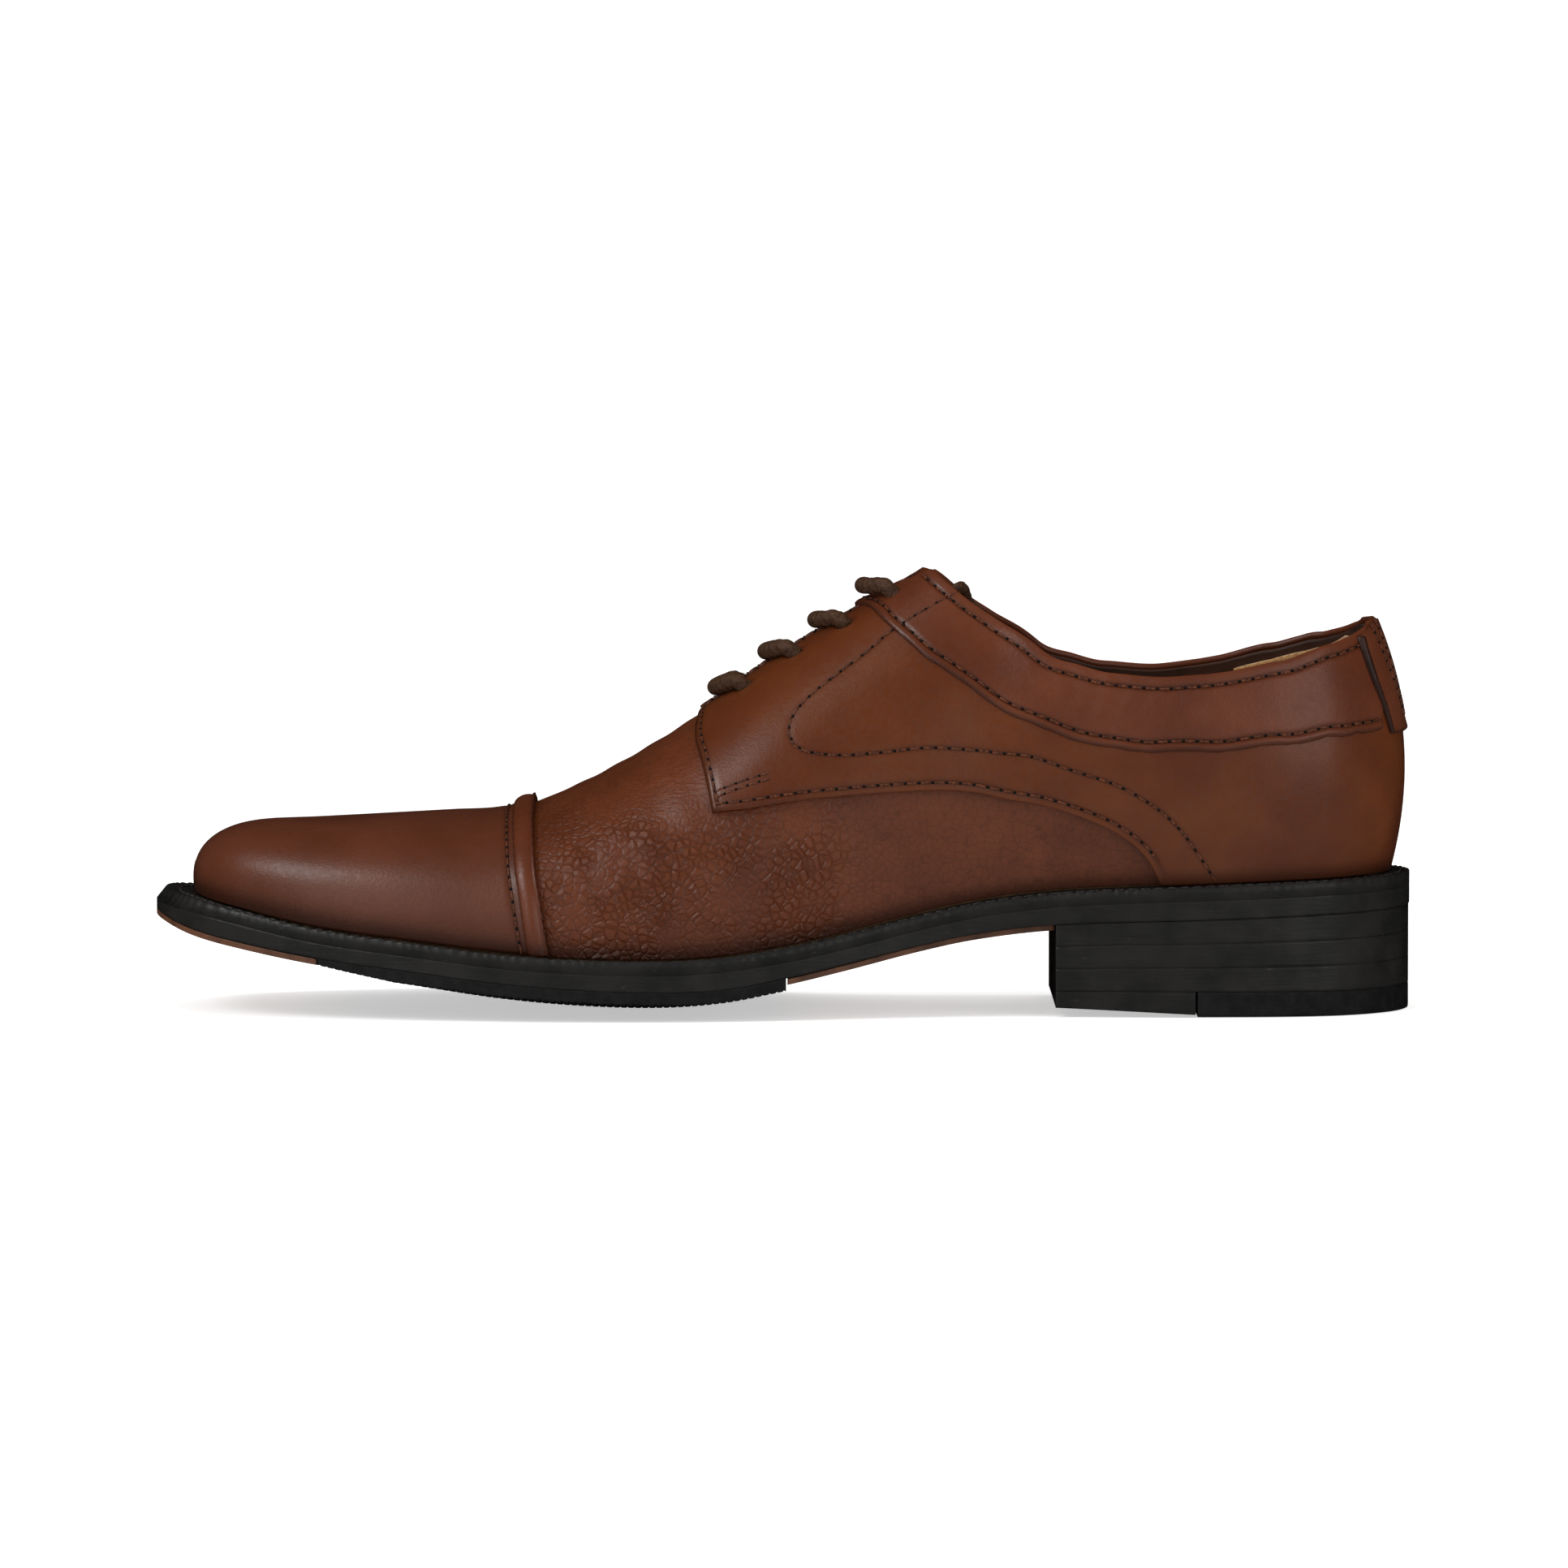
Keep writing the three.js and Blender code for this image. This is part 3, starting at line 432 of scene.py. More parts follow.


def leatherShader(name, light, dark, roughness, grain, grainDepth, coat):
    # box calf: dyed and polished, mottled in fine specks; the shade attribute darkens it along its edges, in
    # its stitch grooves and next to the welt, partly edge dye and burnishing, partly painted shade
    s = Shader(name, Roughness=roughness, Coat_Weight=coat, Coat_Roughness=0.2, Specular_IOR_Level=0.5)
    clouds = s.add("TexNoise", Scale=1 / 22, Detail=3, Roughness=0.55)
    cloud = s.add("MapRange", {0: clouds, 1: 0.35, 2: 0.68})
    base = s.add("Mix", {0: cloud, 6: linear(dark), 7: linear(light)}, data_type="RGBA")
    specks = s.add("TexNoise", Scale=1 / 2.6, Detail=5, Roughness=0.55)
    fine = s.add("MapRange", {0: specks, 1: 0.3, 2: 0.72})
    fineShare = s.add("Math", {0: fine, 1: 0.22}, operation="MULTIPLY")
    mottled = s.add("Mix", {0: fineShare, 6: base.outputs[2], 7: linear(dark)}, data_type="RGBA")
    # painted shade, partly edge dye: the shade attribute, darker along edges, stitch grooves and the welt
    edge = s.add("Attribute", attribute_name="shade").outputs["Fac"]
    dyedAndShaded = s.add("Mix", {0: edge, 6: mottled.outputs[2], 7: linear(edgeDyeAndShadeBrown)}, data_type="RGBA")
    s.wire("Base Color", dyedAndShaded.outputs[2])
    polish = s.add("TexNoise", Scale=1 / 1.4, Detail=4, Roughness=0.55)
    least, most = roughness - 0.05, roughness + 0.09
    s.wire("Roughness", s.add("MapRange", {0: polish, 1: 0.3, 2: 0.75, 3: least, 4: most}))
    pores = s.add("TexVoronoi", Scale=1 / grain)
    halfPores = s.add("Math", {0: pores, 1: 0.5}, operation="MULTIPLY")
    soft = s.add("TexNoise", Scale=1 / (grain * 2.2), Detail=5, Roughness=0.55)
    height = s.add("Math", {0: halfPores, 1: soft}, operation="ADD")
    s.wire("Normal", s.add("Bump", Height=height, Distance=grainDepth * mm, Strength=1.0))
    return s.material


capLeather = leatherShader("capLeather", "5e2f1b", "542813", 0.38, 0.55, 0.05, 0.06)
quarterLeather = leatherShader("quarterLeather", "63300f", "56260c", 0.34, 0.5, 0.04, 0.1)
bandLeather = leatherShader("bandLeather", "66321a", "572812", 0.36, 0.6, 0.07, 0.08)
pipingLeather = leatherShader("pipingLeather", "3c1d10", "271109", 0.42, 0.6, 0.06, 0.1)


def pebbledLeather():
    # milled calf on the vamp: soft pebbles low at the sides, fine creases along the top
    pebbleWidth, poreWidth = 2.0, 0.8
    s = Shader("pebbledLeather", Roughness=0.42, Coat_Weight=0.03, Coat_Roughness=0.25,
               Specular_IOR_Level=0.42)
    wobble = s.add("TexNoise", Scale=1 / 3.2, Detail=3, Roughness=0.55).outputs["Color"]
    warp = s.add("VectorMath", {0: s.position, 1: wobble}, operation="ADD")
    pebbles = s.add("TexVoronoi", Vector=warp, Scale=1 / pebbleWidth, feature="DISTANCE_TO_EDGE")
    cells = pebbles.outputs["Distance"]
    place = s.add("SeparateXYZ", Vector=s.position)
    forward = s.add("MapRange", {0: place.outputs["X"], 1: 26, 2: 6, 3: 0.06, 4: 1})
    below = s.add("MapRange", {0: place.outputs["Z"], 1: 54, 2: 40})
    low = s.add("Math", {0: below, 1: forward}, operation="MULTIPLY")
    high = s.add("Math", {0: 1.0, 1: low}, operation="SUBTRACT")
    top = s.add("Math", {0: high, 1: forward}, operation="MULTIPLY")

    pebble = s.add("MapRange", {0: cells, 1: 0.0, 2: 0.22})
    patchNoise = s.add("TexNoise", Scale=1 / 13, Detail=2, Roughness=0.55)
    patches = s.add("MapRange", {0: patchNoise, 1: 0.42, 2: 0.58, 3: 0.25, 4: 1})
    lowShare = s.add("MapRange", {0: low, 1: 0, 2: 1, 3: 0.04, 4: 1})
    where = s.add("Math", {0: patches, 1: lowShare}, operation="MULTIPLY")
    pebbleHeight = s.add("Math", {0: pebble, 1: where}, operation="MULTIPLY")
    pebbleBump = s.add("Bump", Height=pebbleHeight, Distance=0.42 * mm, Strength=1.0)
    pores = s.add("TexVoronoi", Vector=warp, Scale=1 / poreWidth)
    poreBump = s.add("Bump", Height=pores, Distance=0.05 * mm, Strength=1.0, Normal=pebbleBump)
    lengthwise = s.add("VectorMath", {0: s.position, 1: (0.11, 0.6, 0.8)}, operation="MULTIPLY")
    creases = s.add("TexNoise", Vector=lengthwise, Scale=1 / 0.9, Detail=4, Roughness=0.55)
    creaseHeight = s.add("Math", {0: creases, 1: top}, operation="MULTIPLY")
    s.wire("Normal", s.add("Bump", Height=creaseHeight, Distance=0.28 * mm, Strength=1.0, Normal=poreBump))

    clouds = s.add("TexNoise", Scale=1 / 16, Detail=3, Roughness=0.55)
    cloud = s.add("MapRange", {0: clouds, 1: 0.35, 2: 0.68})
    base = s.add("Mix", {0: cloud, 6: linear("57270d"), 7: linear("642f12")}, data_type="RGBA")
    # painted shade: darker in the creases between the pebbles
    between = s.add("MapRange", {0: cells, 1: 0.07, 2: 0.0, 3: 0, 4: 0.35})
    creaseShaded = s.add("Mix", {0: between, 6: base.outputs[2], 7: linear("2d150c")}, data_type="RGBA")
    # painted shade, partly edge dye: the shade attribute, darker along edges, stitch grooves and the welt
    edge = s.add("Attribute", attribute_name="shade").outputs["Fac"]
    dyedAndShaded = s.add("Mix", {0: edge, 6: creaseShaded.outputs[2], 7: linear(edgeDyeAndShadeBrown)}, data_type="RGBA")
    s.wire("Base Color", dyedAndShaded.outputs[2])
    return s.material


def plainShader(name, light, dark, size, roughness, bumpSize, bumpDepth, **values):
    # two tones in clouds of a size, with an even grain
    s = Shader(name, Roughness=roughness, **values)
    clouds = s.add("TexNoise", Scale=1 / size, Detail=5, Roughness=0.55)
    cloud = s.add("MapRange", {0: clouds, 1: 0.35, 2: 0.65})
    base = s.add("Mix", {0: cloud, 6: linear(dark), 7: linear(light)}, data_type="RGBA")
    s.wire("Base Color", base.outputs[2])
    worn = s.add("TexNoise", Scale=3 / size, Detail=4, Roughness=0.55)
    least, most = max(roughness - 0.08, 0), min(roughness + 0.1, 1)
    s.wire("Roughness", s.add("MapRange", {0: worn, 1: 0.3, 2: 0.7, 3: least, 4: most}))
    grain = s.add("TexNoise", Scale=1 / bumpSize, Detail=5, Roughness=0.55)
    s.wire("Normal", s.add("Bump", Height=grain, Distance=bumpDepth * mm, Strength=1.0))
    return s.material


def soleEdge():
    # leather edge, blacked and burnished: fine lines run along it, with a few pale specks
    s = Shader("soleEdge", Roughness=0.4, Coat_Weight=0.1, Coat_Roughness=0.3, Specular_IOR_Level=0.35)
    along = s.add("VectorMath", {0: s.position, 1: (0.05, 0.05, 1.0)}, operation="MULTIPLY")
    lines = s.add("TexNoise", Vector=along, Scale=1 / 0.5, Detail=5, Roughness=0.55)
    wide = s.add("VectorMath", {0: s.position, 1: (0.5, 0.5, 1)}, operation="MULTIPLY")
    dust = s.add("TexNoise", Vector=wide, Scale=1 / 0.8, Detail=2, Roughness=0.55)
    specks = s.add("MapRange", {0: dust, 1: 0.7, 2: 0.78})
    speckShare = s.add("Math", {0: specks, 1: 0.25}, operation="MULTIPLY")
    clouds = s.add("TexNoise", Scale=1 / 9, Detail=4, Roughness=0.55)
    cloud = s.add("MapRange", {0: clouds, 1: 0.35, 2: 0.65})
    base = s.add("Mix", {0: cloud, 6: linear("1c1b1a"), 7: linear("242321")}, data_type="RGBA")
    speckled = s.add("Mix", {0: speckShare, 6: base.outputs[2], 7: linear("55514c")}, data_type="RGBA")
    s.wire("Base Color", speckled.outputs[2])
    s.wire("Roughness", s.add("MapRange", {0: lines, 1: 0.3, 2: 0.7, 3: 0.34, 4: 0.55}))
    lineBump = s.add("Bump", Height=lines, Distance=0.09 * mm, Strength=1.0)
    waves = s.add("TexNoise", Scale=1 / 2.4, Detail=3, Roughness=0.55)
    s.wire("Normal", s.add("Bump", Height=waves, Distance=0.1 * mm, Strength=1.0, Normal=lineBump))
    return s.material


def fibreShader(name, light, dark, blotch, detail, limits, nap, napDetail, napDepth, **values):
    # suede, lace or thread: two tones in small blotches, with a fine nap
    s = Shader(name, **values)
    blotches = s.add("TexNoise", Scale=1 / blotch, Detail=detail, Roughness=0.55)
    share = s.add("MapRange", {0: blotches, 1: limits[0], 2: limits[1]})
    base = s.add("Mix", {0: share, 6: linear(dark), 7: linear(light)}, data_type="RGBA")
    s.wire("Base Color", base.outputs[2])
    fibres = s.add("TexNoise", Scale=1 / nap, Detail=napDetail, Roughness=0.55)
    s.wire("Normal", s.add("Bump", Height=fibres, Distance=napDepth * mm, Strength=1.0))
    return s.material


edgeBlack = soleEdge()
# split cowhide, napped: tan, with a nap that lies in patches
suedeTan = fibreShader("suede", "d8a668", "a87643", 1.1, 6, (0.35, 0.65), 0.35, 6, 0.25, Roughness=0.95,
                       Sheen_Weight=0.7, Sheen_Roughness=0.5)
# round waxed cotton lace
laceBrown = fibreShader("laceCotton", "523521", "342012", 0.5, 4, (0.35, 0.65), 0.22, 4, 0.08, Roughness=0.6,
                        Specular_IOR_Level=0.3)
pebbled = pebbledLeather()
# bonded polyester sewing thread
threadBrown = fibreShader("threadBrown", "6a371c", "3c1c0d", 0.6, 2, (0.4, 0.6), 0.15, 3, 0.03,
                          Roughness=0.45)
threadBlack = fibreShader("threadBlack", "3a3633", "171514", 0.6, 2, (0.4, 0.6), 0.15, 3, 0.03,
                          Roughness=0.45)
# the punched hole under each stitch, in shade
needleDark = plainShader("needleDark", "140a06", "080403", 1, 0.8, 0.5, 0.02)
# drum-dyed lining calf, dull
liningCalf = plainShader("liningCalf", "46291a", "301a10", 12, 0.55, 0.7, 0.06)
# sole leather in its natural brown, waxed
brownSole = plainShader("brownSole", "6b4126", "4a2b18", 7, 0.5, 0.5, 0.05)
# moulded black rubber, dull
treadRubber = plainShader("treadRubber", "151414", "0d0c0c", 3, 0.75, 0.4, 0.06)
# granulated cork in paste
corkGrain = plainShader("corkGrain", "b98d5c", "7b5a36", 1.4, 0.9, 0.8, 0.3)
# vegetable-tanned insole shoulder
insoleLeather = plainShader("insoleLeather", "b5906a", "94704c", 10, 0.75, 0.4, 0.05)
# pressed fibre board
counterBoard = plainShader("counterBoard", "c1b196", "9f8f74", 5, 0.9, 0.5, 0.08)
# rolled spring steel
shankSteel = plainShader("shankSteel", "8f9194", "74777a", 6, 0.35, 0.3, 0.01, Metallic=1.0)
# pressed brass, browned
eyeletBrass = plainShader("eyeletBrass", "6e5630", "4b3a20", 2, 0.35, 0.3, 0.01, Metallic=1.0)
# clear film over the dark lace end, glossy
agletPlastic = plainShader("agletPlastic", "3a312a", "2a231e", 3, 0.25, 0.5, 0.01)
print("materials")


# Meshes


def keepPiece(mesh, name, material, replaced=(), body="shoe"):
    # turns the faces outwards, and puts the piece on its body
    mesh.calc_loop_triangles()
    count = len(mesh.loop_triangles)
    corners = np.empty(count * 3, int)
    mesh.loop_triangles.foreach_get("vertices", corners)
    points = readPoints(mesh)[corners].reshape(count, 3, 3)
    if (points[:, 0] * np.cross(points[:, 1], points[:, 2])).sum() < 0:
        mesh.flip_normals()
    mesh.polygons.foreach_set("use_smooth", np.ones(len(mesh.polygons), bool))
    piece = bpy.data.objects.new(name, mesh)
    scene.collection.objects.link(piece)
    mesh.materials.append(material)
    if replaced:
        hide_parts(*replaced)
    if body:
        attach(piece, body)
    return piece


def readPoints(mesh):
    values = np.empty(len(mesh.vertices) * 3)
    mesh.vertices.foreach_get("co", values)
    return values.reshape(-1, 3)


def gridMesh(name, nu, nv, point, solid=True, merge=False, shade=None):
    # a grid of nu by nv cells, moved to point(u, v, w) in millimetres; a solid one has a back at w = 1
    grid = bmesh.new()
    bmesh.ops.create_grid(grid, x_segments=nu, y_segments=nv, size=0.5)
    if solid:
        made = bmesh.ops.extrude_face_region(grid, geom=grid.faces[:])
        for item in made["geom"]:
            if isinstance(item, bmesh.types.BMVert):
                item.co.z = 1
    mesh = bpy.data.meshes.new(name)
    grid.to_mesh(mesh)
    grid.free()
    uvw = readPoints(mesh)
    u, v, w = np.clip(uvw[:, 0] + 0.5, 0, 1), np.clip(uvw[:, 1] + 0.5, 0, 1), uvw[:, 2]
    mesh.vertices.foreach_set("co", (point(u, v, w) * mm).ravel())
    if shade is not None:
        layer = mesh.attributes.new("shade", "FLOAT", "POINT")
        layer.data.foreach_set("value", np.clip(shade(u, v), 0, 1).astype(np.float32))
    if merge:
        closed = bmesh.new()
        closed.from_mesh(mesh)
        bmesh.ops.remove_doubles(closed, verts=closed.verts[:], dist=0.02 * mm)
        closed.to_mesh(mesh)
        closed.free()
    mesh.update()
    return mesh


def distance(points, line):
    # the distance of each point to a line of points
    tree = KDTree(len(line))
    for i, p in enumerate(line):
        tree.insert(p, i)
    tree.balance()
    return np.array([tree.find(p)[2] for p in points])


def shares(count):
    return np.linspace(0, 1, count)


def evenly(points, step):
    # points at an equal step along a line
    gone = np.concatenate([[0], np.cumsum(np.linalg.norm(np.diff(points, axis=0), axis=1))])
    count = max(2, int(round(gone[-1] / step)) + 1)
    at = np.linspace(0, gone[-1], count)
    return np.stack([np.interp(at, gone, points[:, k]) for k in range(points.shape[1])], 1)


def smoothLine(points, step):
    # a centripetal curve through points, resampled at an even step
    p = np.array(points, float)
    p = np.vstack([2 * p[0] - p[1], p, 2 * p[-1] - p[-2]])
    out = []
    for i in range(1, len(p) - 2):
        d0, d1, d2 = [max(np.linalg.norm(p[i + k] - p[i + k - 1]) ** 0.5, 1e-4) for k in (0, 1, 2)]
        t1 = (p[i] - p[i - 1]) / d0 - (p[i + 1] - p[i - 1]) / (d0 + d1) + (p[i + 1] - p[i]) / d1
        t2 = (p[i + 1] - p[i]) / d1 - (p[i + 2] - p[i]) / (d1 + d2) + (p[i + 2] - p[i + 1]) / d2
        s = np.linspace(0, 1, 40, endpoint=i == len(p) - 3)[:, None]
        out.append(hermite(p[i], p[i + 1], t1 * d1, t2 * d1, 1, s))
    return evenly(np.vstack(out), step)


def frames(path):
    # tangent and two side directions at each point, without twist
    tangent = np.gradient(path, axis=0)
    tangent /= np.linalg.norm(tangent, axis=1, keepdims=True)
    side = np.zeros_like(path)
    start = np.cross(tangent[0], [0.1, 0.3, 1.0])
    side[0] = start / np.linalg.norm(start)
    for i in range(1, len(path)):
        moved = side[i - 1] - tangent[i] * side[i - 1].dot(tangent[i])
        side[i] = moved / np.linalg.norm(moved)
    return tangent, side, np.cross(tangent, side)


def tubeMesh(name, path, radius, around=24, relief=None):
    # a closed tube along a path; relief(angle, distance along) is added to its radius
    path = np.array(path, float)
    _, side, other = frames(path)
    gone = np.concatenate([[0], np.cumsum(np.linalg.norm(np.diff(path, axis=0), axis=1))])
    radius = np.broadcast_to(radius, len(path))
    toEnd = np.minimum(gone, gone[-1] - gone)
    rounded = np.sqrt(np.clip(1 - (1 - np.clip(toEnd / (radius * 0.6), 0, 1)) ** 2, 0, 1))
    count = len(path) - 1

    def point(u, v, w):
        i = np.rint(u * count).astype(int)
        angle = v * 2 * math.pi
        r = radius[i] * rounded[i]
        if relief is not None:
            r = r * (1 + relief(angle, gone[i]))
        return path[i] + side[i] * (r * np.cos(angle))[:, None] + other[i] * (r * np.sin(angle))[:, None]
    return gridMesh(name, count, around, point, solid=False, merge=True)


def stitchMesh(name, rows, length, radius, sunk=0.0):
    # small capsules, one for each pair of (points, normals) along the seams
    form = bmesh.new()
    bmesh.ops.create_uvsphere(form, u_segments=8, v_segments=6, radius=1)
    base = np.array([v.co[:] for v in form.verts])
    faces = [[v.index for v in f.verts] for f in form.faces]
    form.free()
    base[:, 2] = np.sign(base[:, 2]) * np.abs(base[:, 2]) ** 0.6
    points, polygons = [], []
    for line, normal in rows:
        along = np.gradient(line, axis=0)
        along /= np.linalg.norm(along, axis=1, keepdims=True)
        across = np.cross(along, normal)
        across /= np.linalg.norm(across, axis=1, keepdims=True)
        up = np.cross(across, along)
        for i in range(len(line)):
            middle = line[i] - up[i] * sunk
            moved = (middle + base[:, 2:3] * along[i] * length / 2 + base[:, :1] * across[i] * radius
                     + base[:, 1:2] * up[i] * radius)
            polygons += [[len(points) * len(base) + k for k in f] for f in faces]
            points.append(moved)
    mesh = bpy.data.meshes.new(name)
    mesh.from_pydata((np.vstack(points) * mm).tolist(), [], polygons)
    mesh.update()
    return mesh


# Upper

thick = 1.3  # leather of the upper
gapUnder = 0.1  # between two layers
stitchPitch = 3.3
stitchLength = 2.5
threadRadius = 0.3


def onSurface(flatLine, offset, step):
    # points and normals at an even step along a flat curve
    dense = flatLine(shares(500))
    point, normal = skinFrame(dense)
    both = evenly(np.hstack([point + normal * offset, normal]), step)
    return both[:, :3], both[:, 3:]


def borderLines(map, edges):
    # the last surface along the named borders of a patch: "b", "t", "l" and "r"
    s = shares(260)
    sides = {"b": (s, s * 0), "t": (s, s * 0 + 1), "l": (s * 0, s), "r": (s * 0 + 1, s)}
    return np.vstack([onLast(map(*sides[e])) for e in edges])


def inwards(map, edge, share):
    # a flat curve inside a patch, at a share of it in from a border
    if edge == "b":
        return lambda s: map(s, s * 0 + share)
    if edge == "t":
        return lambda s: map(s, s * 0 + 1 - share)
    if edge == "l":
        return lambda s: map(s * 0 + share, s)
    return lambda s: map(s * 0 + 1 - share, s)


def sheet(name, map, nu, nv, offset, thickness, edges="", rounding=0.9, grooves=(), extra=None,
          shadeWidth=0.9):
    # a leather panel of nu by nv cells, its face at offset from the last: rounded at its open edges (named
    # by their letters) and sunk along its stitching, which is given as (line, depth, width)
    cache = {}

    def surface(u, v):
        key = len(u)
        if key not in cache:
            flat = map(u, v)
            point, normal = skinFrame(flat)
            away = distance(point, borderLines(map, edges)) if edges else np.full(len(point), 99.0)
            beside = [distance(point, line) for line, depth, width in grooves]
            cache[key] = (point, normal, away, beside)
        return cache[key]

    def point(u, v, w):
        base, normal, away, beside = surface(u, v)
        rise = thickness * np.sqrt(np.clip(1 - (1 - np.clip(away / rounding, 0, 1)) ** 2, 0, 1))
        height = offset - thickness + rise
        for gone, (line, depth, width) in zip(beside, grooves):
            height = height - depth * np.exp(-(gone / width) ** 2)
        if extra is not None:
            height = height + extra(u, v, base)
        height = np.where(w > 0.5, offset - thickness - 0.02, height)
        return base + normal * height[:, None]

    # painted shade for the leather colour: darker along the open edges (partly edge dye), along the stitch
    # grooves, and low down next to the welt (partly burnishing)
    def shade(u, v):
        base, normal, away, beside = surface(u, v)
        dark = 0.6 * np.exp(-(away / shadeWidth) ** 2)
        for gone, (line, depth, width) in zip(beside, grooves):
            dark = np.maximum(dark, 0.3 * np.exp(-(gone / width) ** 2))
        low = base[:, 2] - weltTop(base[:, 0])
        return np.maximum(dark, 0.55 * (1 - smooth(low, 0, 5)))
    return gridMesh(name, nu, nv, point, shade=shade)


def stitchRow(flatLine, offset, start=0.0, end=1.0):
    dense = lambda s: flatLine(mix(start, end, s))
    point, normal = onSurface(dense, offset, stitchPitch)
    return point, normal


def needleRow(row, sunk=0.0):
    # between the stitches
    point, normal = row
    return (point[1:] + point[:-1]) / 2 - normal[1:] * sunk, normal[1:]


def addStitches(name, rows, replaced=()):
    thread = stitchMesh(name, rows, stitchLength, threadRadius, 0.08)
    keepPiece(thread, name, threadBrown)
    holes = stitchMesh(name + "_holes", [needleRow(row, 0.12) for row in rows], 0.75, 0.36)
    keepPiece(holes, name + "_holes", needleDark)


def featherCurve(a, b):
    return lambda s: flatten(mix(a, b, s), s * 0)


def toePatch(line):
    a, b = [unflatten(line(np.array([s])))[0][0] for s in (0.0, 1.0)]
    corner = 0.05
    return patch(featherCurve(a, corner), featherCurve(b, -corner), line, featherCurve(corner, -corner))


# Toe cap, its folded band and the row of stitches in front of it
capEdge = overLine(capSeam, 2)
capMap = toePatch(capEdge)
capStitch = overLine(capSeam, -1.6)
capStitchLine = onLast(capStitch(shares(300)))
toeCap = {"nu": 150, "nv": 120, "offset": 0.0, "thickness": thick, "edges": "l"}
keepPiece(sheet("toe_cap_skin", capMap, **toeCap, grooves=[(capStitchLine, 0.28, 0.75)]),
          "toe_cap_skin", capLeather, ["toe_cap"])
capBandWidth = 5.0
bandMap = between(overLine(capSeam), overLine(capSeam, capBandWidth))
capBand = {"nu": 300, "nv": 26, "offset": 0.45, "thickness": 0.9, "edges": "bt", "rounding": 0.35,
           "shadeWidth": 0.4}


def bandDome(u, v, base):
    # domed across, with a narrow fold along its back edge
    return 0.75 * np.sin(np.clip(v / 0.86, 0, 1) * math.pi) ** 0.7 + 0.35 * smooth(v, 0.86, 0.9)


keepPiece(sheet("cap_band_skin", bandMap, **capBand, extra=bandDome),
          "cap_band_skin", bandLeather, ["cap_band"])
addStitches("cap_stitching", [stitchRow(capStitch, 0.05, 0.01, 0.99)])
print("toe cap")

# Vamp, with a wing under each quarter
wingEnd = 93
vampFront = overLine(capSeam, 1)
throat = [(-15, 56), (-13, 51), (-10, 45), (-3, 42), (10, 40), (30, 37), (46, 33), (60, 28), (72, 23),
          (82, 16), (wingEnd, 8)]
liningHem = [(-19.5, 55.5), (-20, 50), (-19.8, 42), (-18.8, 33), (-6, 32), (10, 31), (30, 28), (46, 24),
             (60, 19.6), (73, 14), (82, 8.4)]


def acrossThroat(points):
    return route(np.vstack([place(1, points)[::-1], [[points[0][0] * scaleX, 0]], place(-1, points)]))


def seamStart(side, x):
    return side * float(bisect(0, 1, lambda q: outline(side * q)[..., 0] < x * scaleX, ()))


vampEnds = [seamStart(1, wingEnd), seamStart(-1, wingEnd)]
vampStarts = [unflatten(vampFront(np.array([s])))[0][0] for s in (0.0, 1.0)]
vampHem = joined((0.36, featherCurve(vampEnds[0], vampStarts[0])), (0.28, vampFront),
                 (0.36, featherCurve(vampStarts[1], vampEnds[1])))
vampMap = between(vampHem, acrossThroat(throat))


def vampCreases(u, v, base):
    # shallow flex creases across the vamp; the lengthwise ones near its ridge are in its material's bump
    x, z = base[:, 0], base[:, 2]
    across = 0.10 * np.sin((x + 0.35 * z) * 0.55 + 1.5 * np.sin(z * 0.11)) * smooth(z, 24, 40)
    return across * smooth(x, -60, -48) * (1 - smooth(x, -24, -14))


vampSheet = {"nu": 420, "nv": 90, "offset": -thick - gapUnder, "thickness": thick}
keepPiece(sheet("vamp_skin", vampMap, **vampSheet, extra=vampCreases), "vamp_skin", pebbled,
          ["vamp"])
vampLining = {"nu": 180, "nv": 40, "offset": -2 * thick - 3 * gapUnder, "thickness": 0.9}
vampLiningMap = between(lambda s: vampHem(mix(0.03, 0.97, s)), acrossThroat(liningHem))
keepPiece(sheet("vamp_lining_skin", vampLiningMap, **vampLining), "vamp_lining_skin", liningCalf,
          ["vamp_lining"])
print("vamp")

# Quarters: eyelet holes are pressed in, and the facing, front and hem are folded and stitched
words = {1: "lateral", -1: "medial"}
quarterSheet = {"nu": 240, "nv": 130, "offset": 0.0, "thickness": thick, "edges": "l", "rounding": 0.8}
rimRadius = 0.9
collarRise = 0.35
collarSheet = {"nu": 240, "nv": 90, "offset": collarRise, "thickness": 0.9, "edges": "b", "rounding": 0.6}
quarterLining = {"nu": 120, "nv": 60, "offset": -2.2, "thickness": 0.9}
rowHoles = {side: onFlat(side, eyeletPlaces) for side in words}


def besideLine(flatLine, away):
    # a flat curve moved sideways over the surface by a distance in millimetres, to the left of its direction
    flat = flatLine(shares(240))
    point, normal = skinFrame(flat)
    along = np.gradient(point, axis=0)
    across = np.cross(normal, along)
    across /= np.linalg.norm(across, axis=1, keepdims=True)
    target = point + across * away
    step = 0.3
    moved = flat.copy()
    for _ in range(4):
        here = onLast(moved)
        dx = (onLast(moved + [step, 0]) - here) / step
        dy = (onLast(moved + [0, step]) - here) / step
        miss = target - here
        a, b, c = (dx * dx).sum(1), (dx * dy).sum(1), (dy * dy).sum(1)
        e, f = (miss * dx).sum(1), (miss * dy).sum(1)
        det = a * c - b * b
        moved = moved + np.stack([(e * c - f * b) / det, (f * a - e * b) / det], 1) * 0.9
    gone = shares(240)
    return lambda s: np.stack([np.interp(s, gone, moved[:, k]) for k in (0, 1)], -1)


